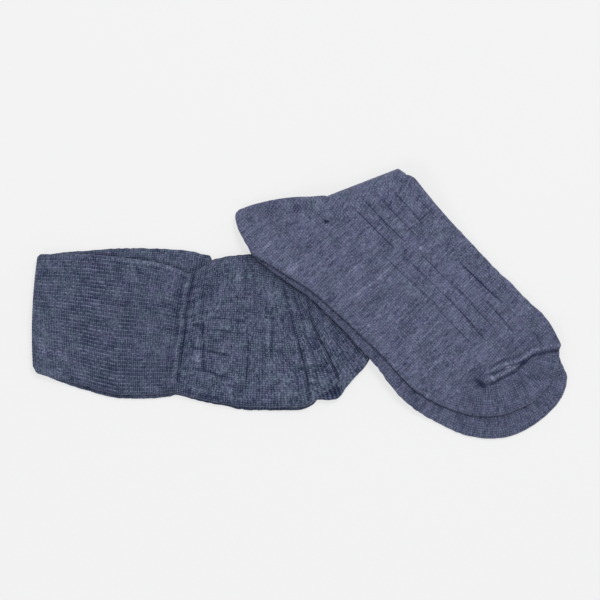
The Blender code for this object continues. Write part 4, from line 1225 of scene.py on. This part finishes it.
def heather_group():
    """Mixed fibres: streaks of lighter and darker yarn along the courses, flecks, clouds, tint and patches.

    Each is noise at along and across times its scales and layer plus its shift. Streaks is half a broad
    field plus a thin one that changes from row to row.
    """
    tree, given, result = new_group(
        "heather",
        (("Along", 0.0), ("Across", 0.0), ("Row", 0.0), ("Layer", 0.0), ("Streak Length", 5.0)),
        ("Streaks", *(name for name, *_ in FIBRE_FIELDS)),
    )
    sums = partial(maths, tree)

    def field(along, across, shift, detail, rough):
        """Noise of one layer of fibre."""
        return noise(tree, at(tree, along, across, sums("ADD", given["Layer"], shift)), detail, rough)

    def scaled(scale_along, scale_across, *rest):
        """Noise at along and across times their scales."""
        along = sums("MULTIPLY", given["Along"], scale_along)
        return field(along, sums("MULTIPLY", given["Across"], scale_across), *rest)

    row = sums("MULTIPLY_ADD", given["Row"], *STREAK_ROW)
    thin = field(row, sums("DIVIDE", given["Across"], given["Streak Length"]), *THIN_STREAKS)
    link(tree, sums("MULTIPLY_ADD", scaled(*BROAD_STREAKS), 0.5, thin), result["Streaks"])
    for name, *fibre in FIBRE_FIELDS:
        link(tree, scaled(*fibre), result[name])
    return tree


STITCHES = stitch_group()
HEATHER = heather_group()

FOOT_DARK = (0.016, 0.021, 0.052, 1.0)
FOOT_LIGHT = (0.254, 0.273, 0.405, 1.0)
# Strength of the foot's painted shade between stitches.
FOOT_GAP = 0.56
FOOT_CALM = -0.4  # change in the grain's strength on the foot
CUFF_CALM = -0.1  # and in the cuff
# Painted shade: the colour it mixes towards, and the most that the shade attribute gives.
PAINTED_SHADE_COLOUR = (0.006, 0.012, 0.040, 1.0)
MOST_PAINTED_SHADE = 1.4
HIGHLIGHT_AND_PALE_GAIN = (2.5, 2.4, 2.15, 1.0)  # the yarn's colour times this for painted highlight on ridges, and for pale yarn and lint
RAISED_SHARE = 0.62
TINT_SPREAD = 1.8
PATCH_SPREAD = 2.0
LAYER_SCALE = 250.0  # turns height in metres into a step between the fibres of two layers
FLECK_RELIEF = 0.6
KNIT_SURFACE = {
    "Roughness": 0.95,
    "Specular IOR Level": 0.15,
    "Sheen Weight": 0.30,
    "Sheen Roughness": 0.5,
    "Sheen Tint": (0.78, 0.78, 1.0, 1.0),
}
BUMP = {"Strength": 0.7, "Distance": 0.0004}

# A yarn's gap and shade are the strengths of its painted shade between stitches and from the shade attribute.
Yarn = namedtuple(
    "Yarn",
    (
        "name", "dark", "light", "warm", "cool",
        "streak", "streaks", "loops", "flecks", "clouds", "gap", "shade",
    ),
)
LEG_YARN = Yarn(
    name="leg_knit", dark=(0.011, 0.018, 0.046, 1.0), light=(0.244, 0.276, 0.386, 1.0),
    warm=(1.07, 0.97, 1.09, 1.0), cool=(0.89, 1.03, 0.94, 1.0),
    streak=4.0, streaks=0.46, loops=0.60, flecks=1.2, clouds=0.22, gap=0.84, shade=0.45,
)
FOOT_YARN = Yarn(
    name="foot_knit", dark=FOOT_DARK, light=FOOT_LIGHT,
    warm=(1.05, 0.98, 1.06, 1.0), cool=(0.92, 1.02, 0.95, 1.0),
    streak=10.0, streaks=0.68, loops=0.40, flecks=1.0, clouds=0.26, gap=FOOT_GAP, shade=0.62,
)


def set_inputs(node, values):
    """Sets a node's sockets by their names."""
    for label, value in values.items():
        node.inputs[label].default_value = value


def attribute(tree, name):
    """The outputs of a mesh attribute."""
    made = tree.nodes.new("ShaderNodeAttribute")
    made.attribute_name = name
    return made.outputs


def split(tree, vector):
    """The three values of a vector."""
    made = tree.nodes.new("ShaderNodeSeparateXYZ")
    tree.links.new(vector, made.inputs[0])
    return made.outputs


def placed_group(tree, group, **inputs):
    """The outputs of a group whose inputs are given by name."""
    made = tree.nodes.new("ShaderNodeGroup")
    made.node_tree = group
    for name, value in inputs.items():
        link(tree, value, made.inputs[name.replace("_", " ")])
    return made.outputs


def knit_material(yarn, column):
    """Heather knit: yarn colours mixed by streaks, loops, flecks and clouds, painted shade in gaps and
    grooves.

    The share of the light yarn is 0.5 plus each field times its weight. The painted shade is the gap between
    stitches times the yarn's, plus the groove attribute times the yarn's. Below 0 that attribute is painted
    highlight on ridges, and pale yarn and lint.
    """
    material = bpy.data.materials.new(yarn.name)
    material.use_nodes = True
    tree = material.node_tree
    surface = tree.nodes["Principled BSDF"]
    sums, blend = partial(maths, tree), partial(mixed, tree)
    # The knit attribute's third value is painted shade above 0, and painted highlight, pale yarn and lint
    # below 0.
    along, across, groove = split(tree, attribute(tree, "knit")["Vector"])
    cuff = attribute(tree, "cuff")["Fac"]
    in_cuff = sums("GREATER_THAN", cuff, 0.5)
    foot = sums("MULTIPLY", cuff, -1.0, clamp=True)
    height = split(tree, tree.nodes.new("ShaderNodeTexCoord").outputs["Object"])["Z"]
    layer = sums("MULTIPLY", height, LAYER_SCALE)
    width = sums("MULTIPLY_ADD", in_cuff, LEG_WIDTH / (2 * CUFF_RIBS) - column, column)
    stitches = placed_group(tree, STITCHES, Along=along, Across=across, Layer=0.3, Column=width)
    heather = placed_group(
        tree, HEATHER, Along=along, Across=across, Row=stitches["Row"], Layer=layer, Streak_Length=yarn.streak
    )

    loops = sums("MULTIPLY", stitches["Loop"], yarn.loops)
    grain = sums("MULTIPLY_ADD", heather["Flecks"], yarn.flecks, loops)
    calm = sums("MULTIPLY_ADD", in_cuff, CUFF_CALM, sums("MULTIPLY_ADD", foot, FOOT_CALM, 1.0))
    value = sums("MULTIPLY_ADD", heather["Streaks"], yarn.streaks, 0.5)
    value = sums("MULTIPLY_ADD", grain, calm, value)
    value = sums("MULTIPLY_ADD", heather["Clouds"], yarn.clouds, value, clamp=True)
    colour = blend(value, blend(foot, yarn.dark, FOOT_DARK), blend(foot, yarn.light, FOOT_LIGHT))
    tint = sums("MULTIPLY_ADD", heather["Tint"], TINT_SPREAD, 0.5, clamp=True)
    colour = blend(1.0, colour, blend(tint, yarn.warm, yarn.cool), "MULTIPLY")

    patch = sums("MULTIPLY_ADD", heather["Patches"], PATCH_SPREAD, 1.0)
    # Painted shade between stitches, stronger in patches, plus painted shade from the attribute, mixed
    # towards the shade colour.
    gap = sums("MULTIPLY_ADD", foot, FOOT_GAP - yarn.gap, yarn.gap)
    gap = sums("MULTIPLY", sums("MULTIPLY", stitches["Gap"], patch), gap)
    depth = sums("MINIMUM", sums("MAXIMUM", groove, 0.0), MOST_PAINTED_SHADE)
    stitch_share = sums("MULTIPLY_ADD", stitches["Gap"], 0.5, 0.75)
    depth = sums("MULTIPLY", sums("MULTIPLY", depth, yarn.shade), stitch_share)
    colour = blend(sums("ADD", gap, depth, clamp=True), colour, PAINTED_SHADE_COLOUR)
    # Painted highlight on ridges, and pale yarn and lint, where the attribute is below 0.
    highlight_and_pale_fibre = sums("MAXIMUM", sums("MULTIPLY", groove, -1.0), 0.0)
    highlight_and_pale_fibre = sums("MULTIPLY", highlight_and_pale_fibre, RAISED_SHARE, clamp=True)
    colour = blend(highlight_and_pale_fibre, colour, blend(1.0, colour, HIGHLIGHT_AND_PALE_GAIN, "MULTIPLY"))
    link(tree, colour, surface.inputs["Base Color"])
    set_inputs(surface, KNIT_SURFACE)

    bump = tree.nodes.new("ShaderNodeBump")
    set_inputs(bump, BUMP)
    relief = sums("MULTIPLY_ADD", heather["Flecks"], FLECK_RELIEF, stitches["Height"])
    link(tree, relief, bump.inputs["Height"])
    tree.links.new(bump.outputs["Normal"], surface.inputs["Normal"])
    return material


# The four pieces. Cells are fine where they show and coarse where the feet cover them

def inner_leg_cells(x):
    """Cell size along the upper leg: on the cuff, on the leg and under the feet."""
    return 1.2 if x < -80.0 else 0.8 if x < 0.0 else 1.6


FINE_LEG = across_stations(4 * CUFF_RIBS + 1, 3)
PLAIN_FOOT = across_stations(84, 4)
inner_leg, inner_leg_length = leg_tube(
    Leg(
        name="inner_sock_leg", slot="inner_sock_knit", rows=INNER_LEG_ROWS, cells=inner_leg_cells,
        form=(level(INNER_LEG), inner_leg_top), roll=INNER_ROLL, axis_z=INNER_AXIS_Z,
        upper=across_stations(5 * CUFF_RIBS + 1, 3), lower=across_stations(40, 3), detail=inner_leg_detail,
    )
)
outer_leg, outer_leg_length = leg_tube(
    Leg(
        name="outer_sock_leg", slot="outer_sock_knit", rows=OUTER_LEG_ROWS, cells=lambda x: 1.5,
        form=(level(0.0), level(FLAT)), roll=OUTER_ROLL, axis_z=OUTER_AXIS_Z,
        upper=FINE_LEG, lower=FINE_LEG, detail=outer_leg_detail,
    )
)
inner_foot = foot_bag(
    Foot(
        name="inner_sock_foot", slot="inner_sock_knit", rows=INNER_FOOT_ROWS, cells=lambda u: 1.3,
        axis=INNER_LEG_ROWS[-1], roll=INNER_ROLL, fold=INNER_FOLD_SPAN, form=(support, inner_foot_top),
        upper=PLAIN_FOOT, lower=PLAIN_FOOT, detail=inner_foot_detail, ragged=0.28,
    )
)
outer_foot = foot_bag(
    Foot(
        name="outer_sock_foot", slot="outer_sock_knit", rows=OUTER_FOOT_ROWS, cells=lambda u: 0.85,
        axis=OUTER_LEG_ROWS[-1], roll=OUTER_ROLL, fold=OUTER_FOLD_SPAN,
        form=(outer_foot_bottom, outer_foot_top), upper=across_stations(150, 4, 0.4),
        lower=across_stations(40, 4), detail=outer_foot_detail, ragged=0.12,
    )
)

leg_knit = knit_material(LEG_YARN, LEG_WIDTH / LEG_COLUMNS)
foot_knit = knit_material(FOOT_YARN, WALE)
for piece, material, node in (
    (inner_leg, leg_knit, "inner_sock"),
    (inner_foot, foot_knit, "inner_sock"),
    (outer_leg, leg_knit, "outer_sock"),
    (outer_foot, foot_knit, "outer_sock"),
):
    piece.data.materials.append(material)
    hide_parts(node)

# The surface it lies on, light and camera
FLOOR_HALF = 3.0
FLOOR_Z = -0.0003
PAPER = {
    "Base Color": (0.20, 0.20, 0.20, 1.0),
    "Emission Color": (1.0, 1.0, 1.0, 1.0),
    "Emission Strength": 0.69,
    "Roughness": 0.9,
    "Specular IOR Level": 0.0,
}
SKY = {"Color": (0.95, 0.99, 1.06, 1.0), "Strength": 0.48}
LAMP_COLOUR = (1.0, 0.98, 0.94)
PHOTO_SPAN = 0.420  # width of the photograph on the surface
CAMERA_PLACE = (0.0, 0.0028, 2.5)
SENSOR = 36.0
SPAN_Z = 0.006  # height at which the span is measured

floor_mesh = bpy.data.meshes.new("floor")
corners = [(x * FLOOR_HALF, y * FLOOR_HALF, FLOOR_Z) for x, y in ((-1, -1), (1, -1), (1, 1), (-1, 1))]
floor_mesh.from_pydata(corners, [], [(0, 1, 2, 3)])
floor = bpy.data.objects.new("floor", floor_mesh)
bpy.context.collection.objects.link(floor)
paper = bpy.data.materials.new("pale_floor")
paper.use_nodes = True
set_inputs(paper.node_tree.nodes["Principled BSDF"], PAPER)
floor_mesh.materials.append(paper)

world = bpy.data.worlds.new("studio")
world.use_nodes = True
set_inputs(world.node_tree.nodes["Background"], SKY)
bpy.context.scene.world = world


def softbox(name, place, size, power):
    """A large soft light that faces the middle of the pair."""
    lamp = bpy.data.lights.new(name, "AREA")
    lamp.shape, lamp.size, lamp.energy = "DISK", size, power
    lamp.color = LAMP_COLOUR
    light = bpy.data.objects.new(name, lamp)
    light.location = place
    light.rotation_mode = "QUATERNION"
    light.rotation_quaternion = (-Vector(place)).to_track_quat("-Z", "Y")
    bpy.context.collection.objects.link(light)


softbox("key", (0.5, 1.0, 2.15), 0.9, 29.5)
softbox("fill", (-1.0, -1.2, 1.8), 1.0, 10.0)

lens = bpy.data.cameras.new("above")
lens.sensor_width = SENSOR
lens.lens = SENSOR * (CAMERA_PLACE[2] - SPAN_Z) / PHOTO_SPAN
camera = bpy.data.objects.new("above", lens)
camera.location = CAMERA_PLACE
bpy.context.collection.objects.link(camera)
bpy.context.scene.camera = camera
bpy.context.scene.view_settings.view_transform = "Standard"
